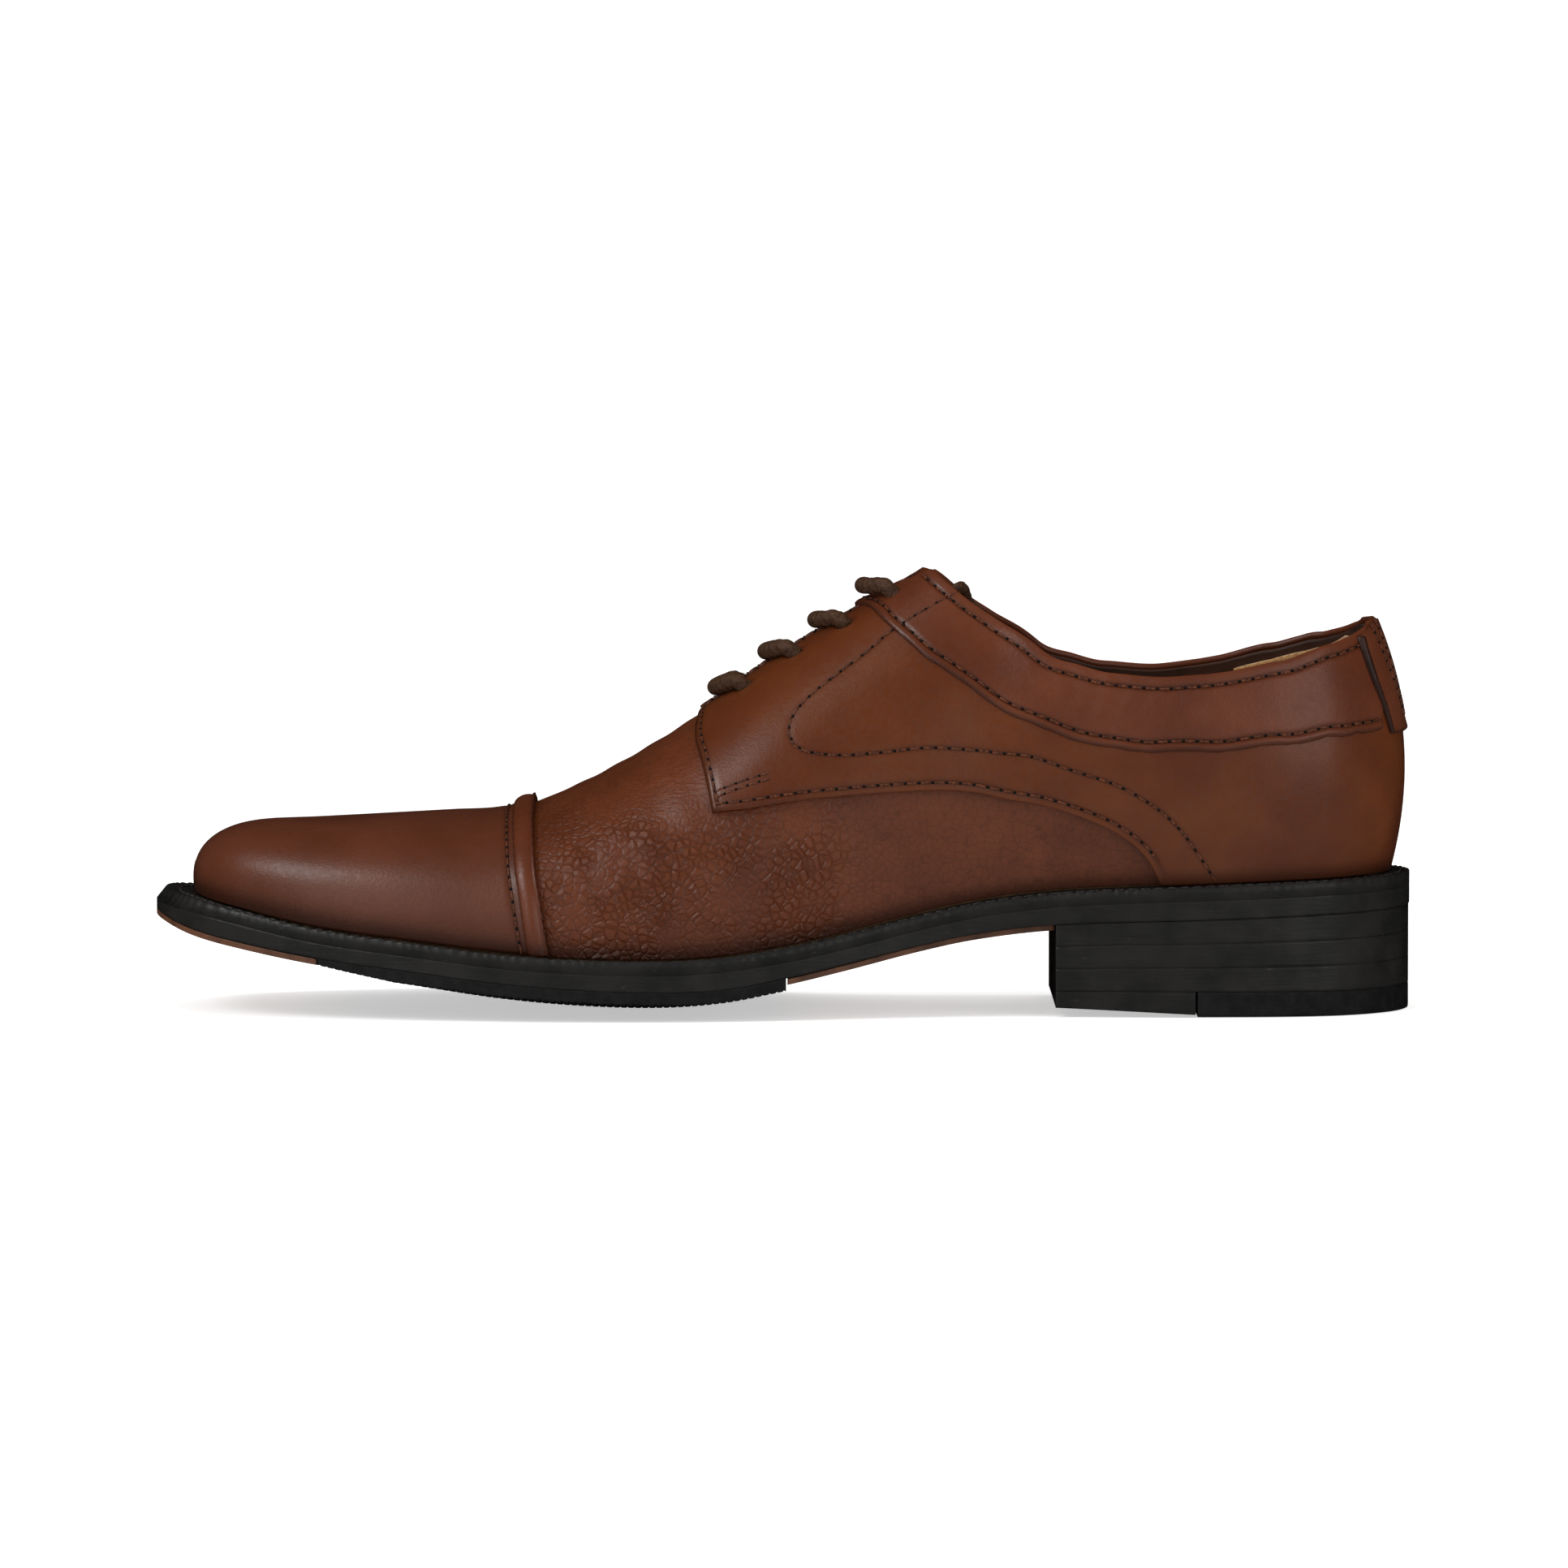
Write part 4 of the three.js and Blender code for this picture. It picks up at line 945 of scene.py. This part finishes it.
for side, word in words.items():
    quarter = quarterMap(side)
    frontEdge = inwards(quarter, "l", 0)
    hemEdge = drawn(side, quarterHem)
    frontStitch = besideLine(frontEdge, -1.8 * side)
    hemStitch = besideLine(hemEdge, 1.8 * side)
    tearStitch = drawn(side, teardrop)
    lines = [onLast(line(shares(300))) for line in (frontStitch, hemStitch, tearStitch)]
    holes = onLast(rowHoles[side])

    def dents(u, v, base, holes=holes):
        sunk = 0
        for hole in holes:
            sunk = sunk + 1.3 * np.exp(-(np.linalg.norm(base - hole, axis=1) / 2.3) ** 4)
        return -sunk
    grooves = [(lines[0], 0.2, 0.7), (lines[1], 0.2, 0.7), (lines[2], 0.16, 0.6)]
    skinMesh = sheet(f"quarter_{word}_skin", quarter, **quarterSheet, grooves=grooves, extra=dents)
    keepPiece(skinMesh, f"quarter_{word}_skin", quarterLeather, [f"quarter_{word}"])
    tacks = [drawn(side, [(-15.5, v), (-4.5, v + 2.2)]) for v in (37.8, 39.2)]
    addStitches(f"quarter_{word}_stitching", [stitchRow(tack, 0.04) for tack in tacks] + [
                                              stitchRow(frontStitch, 0.04, 0.02, 0.98),
                                              stitchRow(hemStitch, 0.04, 0.02, 0.97),
                                              stitchRow(tearStitch, 0.04)])
    print("quarter", word)

    # Collar: a beaded hem, a stitched rim and a roll over its top
    rimEdge = lambda s, quarter=quarter: quarter(mix(0.03, 0.995, s), s * 0 + 1)
    hemCurve = drawn(side, collarHem)
    collarMap = between(hemCurve, rimEdge)
    beadStitch = besideLine(hemCurve, 2.5 * side)
    rimStitch = besideLine(rimEdge, -2.2 * side)
    collarLines = [onLast(line(shares(300))) for line in (beadStitch, rimStitch)]
    hemLine = onLast(hemCurve(shares(300)))

    def bead(u, v, base, hemLine=hemLine):
        away = distance(base, hemLine)
        swell = 0.3 * np.sin(np.clip(away / 2.4, 0, 1) * math.pi)
        x = base[:, 0]
        wrinkle = 0.06 * np.sin(x * 1.1 + 2 * np.sin(base[:, 2] * 0.3))
        return swell + wrinkle * smooth(x, 54, 66) * (1 - smooth(x, 88, 104)) * smooth(away, 5, 9)
    keepPiece(sheet(f"collar_{word}_skin", collarMap, **collarSheet,
                    grooves=[(line, 0.25, 0.7) for line in collarLines], extra=bead),
              f"collar_{word}_skin", bandLeather, [f"collar_{word}"])
    topStitch = drawn(side, [(27.4, 69.2), (34, 71.6), (40.5, 73.8)])
    addStitches(f"collar_{word}_stitching", [stitchRow(topStitch, collarRise + 0.05),
                                             stitchRow(beadStitch, collarRise + 0.05, 0.01, 0.99),
                                             stitchRow(rimStitch, collarRise + 0.05, 0.01, 0.99)])
    rollPath = evenly(skin(rimEdge(shares(400)), collarRise - rimRadius), 0.7)
    keepPiece(tubeMesh(f"collar_{word}_roll", rollPath, rimRadius, 28), f"collar_{word}_roll", bandLeather)

    # Lining of the quarter, stitched in under the roll
    liningMap = lambda u, v, quarter=quarter: quarter(mix(0.03, 0.99, u), mix(0.03, 0.995, v))
    keepPiece(sheet(f"quarter_{word}_inside", liningMap, **quarterLining), f"quarter_{word}_inside",
              liningCalf, [f"quarter_lining_{word}"])
    print("collar", word)

# Heel tab: over the back seam, with a piping along each of its front edges
tabEdge = [(136.6, 61), (138.6, 54), (141, 47), (143.6, 40.5), (145.6, 34)]
tabBottom, tabTop = 33.8, 60.4
tabDip = 3  # its front edges end lower, at the topline
tabRollRadius = 1.05


def tabMap(u, v):
    z = mix(tabBottom, tabTop - tabDip * np.abs(2 * u - 1) ** 1.5, v)
    heights = np.array([p[1] for p in tabEdge[::-1]])
    xs = np.array([p[0] for p in tabEdge[::-1]]) * scaleX
    x = np.interp(z, heights, xs)
    a = bisect(0.8, 1, lambda q: lastPoint(q, levelOn(q, z))[..., 0] < x, x.shape)
    b = -bisect(0.8, 1, lambda q: lastPoint(-q, levelOn(-q, z))[..., 0] < x, x.shape)
    q = mix(a, 2 + b, u)
    return heelFlat(np.where(q > 1, q - 2, q), z)


tabLift = collarRise + 0.35
heelTab = {"nu": 90, "nv": 90, "offset": tabLift, "thickness": 1.2, "edges": "b", "rounding": 0.8}


def tabPuff(u, v, base):
    knuckle = 0.35 * np.exp(-((v - 0.02) / 0.07) ** 2)
    return 0.15 * np.sin(u * math.pi) + knuckle


keepPiece(sheet("heel_tab_skin", tabMap, **heelTab, extra=tabPuff), "heel_tab_skin",
          bandLeather, ["heel_tab"])
rollPath = evenly(skin(tabMap(mix(0.03, 0.97, shares(120)), np.full(120, 0.985)), tabLift - 1.1), 0.6)
keepPiece(tubeMesh("heel_tab_roll", rollPath, tabRollRadius, 24), "heel_tab_roll", bandLeather)
tabRows = []
for u in (0.0, 1.0):
    pipeFlat = tabMap(np.full(80, u), shares(80))
    pipe = evenly(skin(pipeFlat, tabLift - 0.2), 0.4)
    taper = np.interp(shares(len(pipe)), [0, 0.3, 1], [0.65, 0.8, 1.3])
    keepPiece(tubeMesh(f"heel_tab_piping_{int(u) + 1}", pipe, taper, 20), f"heel_tab_piping_{int(u) + 1}",
              pipingLeather)
    for away in (0.17, 0.28):
        share = away if u == 0 else 1 - away
        curve = lambda s, share=share: tabMap(mix(share, (share + 0.5) / 2, 1 - s), s)
        point, normal = skinFrame(curve(shares(200)))
        both = evenly(np.hstack([point + normal * (tabLift + 0.25), normal]), 2.6)
        tabRows.append((both[2:, :3], both[2:, 3:]))
addStitches("heel_tab_stitching", tabRows)
gripBelowRim = 2.3
gripEnds = [seamStart(1, 110), 2 + seamStart(-1, 110)]


def gripMap(u, v):
    # up to a little below the topline
    q = mix(gripEnds[0], gripEnds[1], u)
    q = np.where(q > 1, q - 2, q)
    x = outline(q)[..., 0] / scaleX
    rim = np.interp(x, [p[0] for p in topline], [p[1] for p in toplineOn(-1)])
    return heelFlat(q, mix(3, rim - gripBelowRim, v))


heelGrip = {"nu": 90, "nv": 60, "offset": -3.3, "thickness": 0.8, "edges": "tlr", "rounding": 0.5}
keepPiece(sheet("heel_grip_skin", gripMap, **heelGrip), "heel_grip_skin", suedeTan, ["heel_grip"])
print("heel tab")


# Lace and tongue

laceRadius = 1.7
laceSwell = 1.12  # how much its tight rows bulge
collarRow, overCollar = 3, 1.1  # the last row lies over the collar band
liningDepth = -5.0  # inner face of the CAD's lining
eyeletDepth = liningDepth - 0.9 - 0.6 - 0.9
laceDepth = eyeletDepth - 0.3 - laceRadius
tongueTop = laceDepth - laceRadius - 0.6


def onePoint(flat, offset):
    return skin(np.array(flat, float)[None], np.array([offset]))[0]


def laceHeight(k):
    return laceRadius + 0.15 + (overCollar if k == collarRow else 0)


def bar(k, start):
    # up through the hole on one side, over the gap and down through the other
    a, b = rowHoles[start][k], rowHoles[-start][k]
    high = laceHeight(k)
    over = [(0.04, 1.2, high - 0.4), (0.14, 3.6, high), (0.3, 5.4, high), (0.5, 6, high), (0.7, 5.4, high),
            (0.86, 3.6, high), (0.96, 1.2, high - 0.4)]
    across = [onePoint(mix(a, b, s) - [forward, 0], h) for s, forward, h in over]
    return ([onePoint(a, laceDepth + 0.6), onePoint(a, -2)] + across
            + [onePoint(b, -2), onePoint(b, laceDepth + 0.6)])


def run(side, a, b, dy):
    places = [mix(rowHoles[side][a], rowHoles[side][b], s) for s in (0.2, 0.5, 0.8)]
    return [onePoint(p + [0, side * dy], laceDepth) for p in places]


def toMouth(k, steps, dy):
    return [onePoint(rowHoles[-1][k] + [dx, -dy], laceDepth) for dx in steps]


laced = (toMouth(3, [12, 8, 4], 0) + bar(3, -1) + run(1, 3, 1, -2.6) + bar(1, 1) + run(-1, 1, 0, 0)
         + bar(0, -1) + run(1, 0, 2, 2.6) + bar(2, 1) + toMouth(2, [4, 9, 15, 21], -3.8))


def braid(angle, gone):
    # eight strands laid each way round
    turn = gone * 2 * math.pi / 7.0
    one = np.cos(3 * angle + turn * 3)
    other = np.cos(3 * angle - turn * 3)
    return 0.1 * np.maximum(one, other) - 0.06


lacePath = smoothLine(laced, 0.3)
keepPiece(tubeMesh("lace_run", lacePath, laceRadius * laceSwell, 32, braid), "lace_run", laceBrown,
          ["lace"])


def sockTop(x):
    return weltTop(x) - 3.4 + 2 + 0.3 + 2.5 + 0.3 + 1


tails = [
    [(44.5, 8.5, 65.2), (48, 7.6, 60.5), (50.5, 7.4, 54), (53, 8, 46.5), (56.5, 9, 38.5), (60.5, 10, 29.5),
     (62, 10.5, 19.3), (65, 11, 10.1), (70.5, 11.5, 3.7), (78, 12, 1), (88, 12, 0.9), (98, 11, 0.8),
     (106.5, 6, 0.7), (109, -1, 0.7), (105, -7.5, 0.8), (96, -9.8, 0.9), (86, -9.8, 0.8), (76, -9, 0.8),
     (66, -8, 0.8), (56, -7, 0.8), (47, -6, 0.8)],
    [(44, 10.3, 59), (46.8, 12, 54), (49.5, 13.2, 48), (52.5, 14.2, 41), (55, 15, 32.1),
     (56, 16, 21.5), (57.5, 17, 10.8), (61, 17.5, 3.9), (68, 18.5, 1.1), (77, 19.5, 1), (88, 20, 0.9),
     (100, 20, 0.8), (112, 17.5, 0.6), (120.5, 12, 0.6), (123.5, 3.5, 0.6), (120.5, -5, 0.6),
     (112, -12, 0.6), (101, -15.5, 0.8), (89, -16.5, 0.8), (77, -16.5, 0.9), (66, -15.5, 0.9)],
]
agletLength = 18
for i, points in enumerate(tails):
    end, before = (laced[0], laced[1]) if i == 0 else (laced[-1], laced[-2])
    away = (end - before) / np.linalg.norm(end - before)
    down = [[x * scaleX, y * scaleY, sockTop(x * scaleX) + laceRadius + above] for x, y, above in points]
    path = smoothLine([end + away * 0.3, end + away * 3] + down, 0.35)
    free = keepPiece(tubeMesh(f"lace_tail_{i + 1}", path, laceRadius, 24, braid), f"lace_tail_{i + 1}",
                     laceBrown, [f"lace_end_{i + 1}"])
    along = (path[-1] - path[-3]) / np.linalg.norm(path[-1] - path[-3])
    tipPath = np.array([path[-1] + along * (0.3 + t) for t in np.linspace(0, agletLength, 60)])
    taper = np.interp(shares(60), [0, 0.06, 1], [laceRadius * 0.98, laceRadius * 0.86, laceRadius * 0.78])
    tip = keepPiece(tubeMesh(f"lace_tip_{i + 1}", tipPath, taper, 24), f"lace_tip_{i + 1}", agletPlastic,
                    [f"aglet_{i + 1}"])
print("lace")


# Tongue: under the lace, from the throat up to the mouth
tongueRoot, tongueTip = -20, 36
tongueOuter = {"above": 0, "thickness": 2.6, "padding": 0.3}
tongueInner = {"above": 2.7, "thickness": 1.0, "padding": 0}


def tongueMap(u, v):
    half = mix(13, 17, u) * scaleY
    return np.stack([mix(tongueRoot, tongueTip, u) * scaleX, (v - 0.5) * 2 * half], -1)


def tongueSheet(name, above, thickness, padding):
    def point(u, v, w):
        middle = tongueMap(u, u * 0 + 0.5)
        down = skin(middle, np.full(len(u), -1.0)) - skin(middle, np.zeros(len(u)))
        depth = mix(liningDepth - 0.9, tongueTop, smooth(u, 0, 0.22))
        side = np.minimum(np.minimum(v, 1 - v) * 30, (1 - u) * 56)
        rise = np.sqrt(np.clip(1 - (1 - np.clip(side / 1.3, 0, 1)) ** 2, 0, 1))
        top = above + (1 - rise) * thickness / 2 - padding * np.sin(v * math.pi) * rise * smooth(u, 0.1, 0.5)
        low = above + thickness - (1 - rise) * thickness / 2
        return skin(tongueMap(u, v), depth) + down * np.where(w > 0.5, low, top)[:, None]
    # painted shade, partly edge dye: darker along the tongue's top edge
    return gridMesh(name, 150, 90, point, shade=lambda u, v: 0.4 * np.exp(-((1 - u) / 0.03) ** 2))


keepPiece(tongueSheet("tongue_skin", **tongueOuter), "tongue_skin", bandLeather,
          ["tongue"], body="tongue")
keepPiece(tongueSheet("tongue_inside", **tongueInner), "tongue_inside", liningCalf,
          ["tongue_lining"], body="tongue")
print("tongue")


# Sole

flare = graph([(-152, 2.6), (-138, 2), (-122, 0.4), (-110, 0), (152, 0)])
marginAt = graph([(-143, 6.9), (-120, 5.4), (-60, 4.6), (0, 4), (40, 2.6), (80, 3.4), (130, 4.5),
                  (147, 4.5)])
weltThickness = 3.4
wheelPitch = 2.5  # of the marks pressed into the welt
weltCells = {"nu": 1500, "nv": 24}


def margin(q):
    return marginAt(outline(q)[..., 0])


def outerEdge(q):
    return margin(q) + flare(outline(q)[..., 0])


def weltLow(x):
    return weltTop(x) - weltThickness


def fromPoints(x, y, z):
    return np.stack([x, y, z], -1)


def weltPoint(u, v, w):
    # round the shoe by u; v goes in over the top, w = 1 is the underside
    q = np.where(u * 2 > 1, u * 2 - 2, u * 2)
    out = mix(margin(q), -4.0, v)
    rounded = np.sqrt(np.clip(1 - (1 - np.clip(v * 12 / 0.3, 0, 1)) ** 2, 0, 1))
    low = w > 0.5
    p = outlineOut(q, np.where(low, out + flare(outline(q)[..., 0]) * (1 - v), out))
    x, y = p[..., 0], p[..., 1]
    gone = u * weltLength
    stitchLine = margin(q) * 0.5
    hollow = 0.35 * np.exp(-((out - stitchLine) / 0.9) ** 2)
    notch = 0.3 * np.maximum(0, np.cos(gone * 2 * math.pi / wheelPitch)) ** 3
    notch = notch * np.exp(-((out - stitchLine) / 2.0) ** 2)
    ragged = 0.18 * np.sin(gone * 2.3 + 2 * np.sin(gone * 0.31)) * np.exp(-v * 9)
    top = weltTop(x) - 0.3 * (1 - rounded) - hollow - notch + ragged
    return fromPoints(x, y, np.where(low, weltLow(x), top) - drop(x, y))


ringShares = shares(900)
ringQ = np.where(ringShares * 2 > 1, ringShares * 2 - 2, ringShares * 2)
ringPoints = outlineOut(ringQ, margin(ringQ))
weltLength = np.linalg.norm(np.diff(ringPoints, axis=0), axis=1).sum()
keepPiece(gridMesh("welt_skin", point=weltPoint, merge=True, **weltCells), "welt_skin", edgeBlack,
          ["welt"])


def weltSeam(start, end):
    q = np.linspace(start, end, 700)
    p = outlineOut(q, margin(q) * 0.5)
    x, y = p[:, 0], p[:, 1]
    line = fromPoints(x, y, weltTop(x) - drop(x, y) - 0.12)
    spaced = evenly(line, 3.1)
    return spaced, np.tile([0.0, 0.0, 1.0], (len(spaced), 1))


weltRows = [weltSeam(0.005, 0.995), weltSeam(-0.005, -0.995)]
keepPiece(stitchMesh("welt_stitching", weltRows, 2.5, 0.42, 0.1), "welt_stitching", threadBlack)


def soleMap(front, back, moved):
    # the plan of a plate of the sole between two stations, its edge moved out from the feather line
    def edge(q):
        return outlineOut(q, moved(q))

    def station(side, x):
        return side * float(bisect(0, 1, lambda q: edge(side * q)[..., 0] < x, ()))
    around = 0.05
    qa, qc = (around, -around) if front is None else (station(1, front), station(-1, front))
    qb, qd = (1 - around, around - 1) if back is None else (station(1, back), station(-1, back))

    def straight(a, b):
        ends = edge(np.array([a, b]))
        return lambda v: mix(ends[0], ends[1], v[..., None])

    def roundHeel(v):
        q = mix(qb, 2 + qd, v)
        return edge(np.where(q > 1, q - 2, q))
    nose = straight(qa, qc) if front is not None else (lambda v: edge(mix(qa, qc, v)))
    tail = straight(qb, qd) if back is not None else roundHeel
    return patch(lambda u: edge(mix(qa, qb, u)), lambda u: edge(mix(qc, qd, u)), nose, tail)


def solePlate(name, front, back, moved, low, high, nu, nv, sharp=0.5, relief=None):
    # a plate with rounded edges: each layer of its grid is drawn in a little near the top and bottom
    outer = soleMap(front, back, moved)
    inner = soleMap(front, back, lambda q: moved(q) - sharp)
    rows = bmesh.new()
    bmesh.ops.create_grid(rows, x_segments=nu, y_segments=nv, size=0.5)
    made = bmesh.ops.extrude_face_region(rows, geom=rows.faces[:])
    lifted = [item for item in made["geom"] if isinstance(item, bmesh.types.BMVert)]
    for vertex in lifted:
        vertex.co.z = 1
    walls = [e for e in rows.edges if abs(e.verts[0].co.z - e.verts[1].co.z) > 0.5]
    bmesh.ops.subdivide_edges(rows, edges=walls, cuts=9, use_grid_fill=True)
    mesh = bpy.data.meshes.new(name)
    rows.to_mesh(mesh)
    rows.free()
    uvw = readPoints(mesh)
    u, v = np.clip(uvw[:, 0] + 0.5, 0, 1), np.clip(uvw[:, 1] + 0.5, 0, 1)
    w = np.clip(uvw[:, 2], 0, 1)
    share = np.clip(np.minimum(w, 1 - w) * 10, 0, 1)
    plan = mix(inner(u, v), outer(u, v), np.sqrt(np.clip(1 - (1 - share) ** 2, 0, 1))[:, None])
    x, y = plan[:, 0], plan[:, 1]
    z = mix(low(x), high(x), w) - drop(x, y)
    if relief is not None:
        z = z + relief(x, y, w)
    mesh.vertices.foreach_set("co", (fromPoints(x, y, z) * mm).ravel())
    mesh.update()
    return mesh


breast = 64.8 * scaleX
treadFront = -111 * scaleX
treadBack = 0.5 * scaleX
split = 98.6 * scaleX
treadThickness = 2.9
panelThickness = 1.5
outsoleCells = {"nu": 260, "nv": 90, "sharp": 0.02}
toeTipCells = {"nu": 70, "nv": 70, "sharp": 0.5}
treadCells = {"nu": 640, "nv": 24, "sharp": 0.03}
waistCells = {"nu": 90, "nv": 40, "sharp": 0.5}


def panelTop(x):
    return outsoleLow(x) - 0.1


def panelLow(x):
    return panelTop(x) - panelThickness


keepPiece(solePlate("outsole_skin", None, None, outerEdge, outsoleLow, lambda x: weltLow(x) + 0.05,
                    **outsoleCells), "outsole_skin", edgeBlack, ["outsole"])
keepPiece(solePlate("toe_tip_skin", None, treadFront - 0.3, outerEdge, panelLow, panelTop, **toeTipCells),
          "toe_tip_skin", brownSole, ["toe_tip_leather"])


def treadLow(x):
    return panelTop(x) - mix(panelThickness, treadThickness, np.clip((x - treadFront) / (18 * scaleX), 0, 1))


cleatPitch = 1.7


def serration(x, y, w):
    # fine cleats across the bottom
    return 0.28 * (1 - w) ** 5 * np.maximum(0, np.cos(x * 2 * math.pi / cleatPitch)) ** 3


keepPiece(solePlate("tread_skin", treadFront, treadBack, outerEdge, treadLow, panelTop, relief=serration,
                    **treadCells), "tread_skin", treadRubber, ["forefoot_tread"])


def waistEdge(q):
    return outerEdge(q) - 0.4 - 2.4 * smooth(outline(q)[..., 0], 10, 34)


keepPiece(solePlate("waist_skin", treadBack + 0.3, breast - 0.3, waistEdge, panelLow, panelTop,
                    **waistCells), "waist_skin", brownSole, ["waist_leather"])
topPieceTop = 6
liftLow = topPieceTop + 0.05
liftCells = {"nu": 120, "nv": 60, "sharp": 0.02}
topPieceFront = {"nu": 60, "nv": 50, "sharp": 0.08}
topPieceRear = {"nu": 80, "nv": 50, "sharp": 0.08}


def heelEdge(q):
    return margin(q) - 0.22


def levelAt(height):
    return lambda x: np.full(np.shape(x), float(height))


for i in range(3):
    def level(share):
        return lambda x: mix(liftLow, outsoleLow(x) - 0.05, share)
    low, high = level(i / 3), level((i + 1) / 3 - 0.0015)
    keepPiece(solePlate(f"heel_lift_{i + 1}_skin", breast, None, heelEdge, low, high, **liftCells),
              f"heel_lift_{i + 1}_skin", edgeBlack, [f"heel_lift_{i + 1}"])


def heelRise(x):
    return 0.5 + 1.6 * np.clip((split - x) / (split - breast), 0, 1)


keepPiece(solePlate("top_piece_front_skin", breast, split - 0.5, heelEdge, heelRise, levelAt(topPieceTop),
                    **topPieceFront), "top_piece_front_skin", edgeBlack, ["top_piece_front"])
keepPiece(solePlate("top_piece_rear_skin", split, None, heelEdge, levelAt(0), levelAt(topPieceTop),
                    **topPieceRear), "top_piece_rear_skin", treadRubber, ["top_piece_rear"])


def sockEdge(q):
    return q * 0 - 4.3


sockCells = {"nu": 160, "nv": 60, "sharp": 0.3}
keepPiece(solePlate("sock_skin", None, None, sockEdge, lambda x: sockTop(x) - 1, sockTop, **sockCells),
          "sock_skin", liningCalf, ["sock_liner"])
print("sole")

# What stays hidden keeps its CAD shape
for name, material in {"cork_filler": corkGrain, "shank": shankSteel, "insole_board": insoleLeather,
                       "toe_puff": counterBoard, "heel_counter": counterBoard,
                       "facing_stay_lateral": counterBoard, "facing_stay_medial": counterBoard}.items():
    nodes[name].material_slots[0].material = material
for name in nodes:
    if name.startswith("eyelet_"):
        nodes[name].material_slots[0].material = eyeletBrass


# Studio

def box(name, size, place, turn, power, glossy=True):
    # an area light; one that isn't glossy only fills
    light = bpy.data.lights.new(name, "AREA")
    light.shape = "RECTANGLE"
    light.size, light.size_y = size
    light.energy = power
    lamp = bpy.data.objects.new(name, light)
    lamp.location = place
    lamp.rotation_euler = [math.radians(a) for a in turn]
    lamp.visible_glossy = glossy
    scene.collection.objects.link(lamp)


paperGlow = 0.5


def sweep():
    # a pale paper floor that curves up behind
    floor = bmesh.new()
    bmesh.ops.create_grid(floor, x_segments=2, y_segments=80, size=0.5)
    mesh = bpy.data.meshes.new("sweep")
    floor.to_mesh(mesh)
    floor.free()
    uv = readPoints(mesh)
    wide, deep, bend = 7.0, 6.0, 0.9
    t = (uv[:, 1] + 0.5) * (deep + bend * math.pi / 2 + 3)
    flat = np.minimum(t, deep)
    angle = np.clip((t - deep) / bend, 0, math.pi / 2)
    rise = np.maximum(t - deep - bend * math.pi / 2, 0)
    y = -3.4 + flat + bend * np.sin(angle)
    z = bend * (1 - np.cos(angle)) + rise
    mesh.vertices.foreach_set("co", np.stack([uv[:, 0] * wide, y, z - 0.0001], -1).ravel())
    mesh.polygons.foreach_set("use_smooth", np.ones(len(mesh.polygons), bool))
    paper = plainShader("paper", "f6f6f5", "f2f2f1", 300, 0.9, 5, 0.01)
    glow = paper.node_tree.nodes["Principled BSDF"]
    glow.inputs["Emission Color"].default_value = linear("ffffff")
    glow.inputs["Emission Strength"].default_value = paperGlow
    mesh.materials.append(paper)
    piece = bpy.data.objects.new("sweep", mesh)
    scene.collection.objects.link(piece)
    piece.visible_glossy = False


sweep()
box("overhead", (1.2, 0.8), (0.1, -0.1, 1.5), (4, 0, 0), 8, glossy=False)
box("highLeft", (0.5, 0.5), (-0.85, -0.5, 1.05), (44, 0, -60), 5)
box("frontLeft", (0.9, 1.3), (-1.1, -1.5, 0.75), (68, 0, -36), 3.4)
box("frontRight", (1.3, 1.3), (1.35, -1.6, 0.7), (68, 0, 40), 6)
world = bpy.data.worlds.new("studio")
scene.world = world
world.use_nodes = True
world.node_tree.nodes["Background"].inputs["Color"].default_value = linear("ffffff")
world.node_tree.nodes["Background"].inputs["Strength"].default_value = 0.5
world.cycles_visibility.glossy = False
scene.view_settings.view_transform = "Standard"
print("studio")
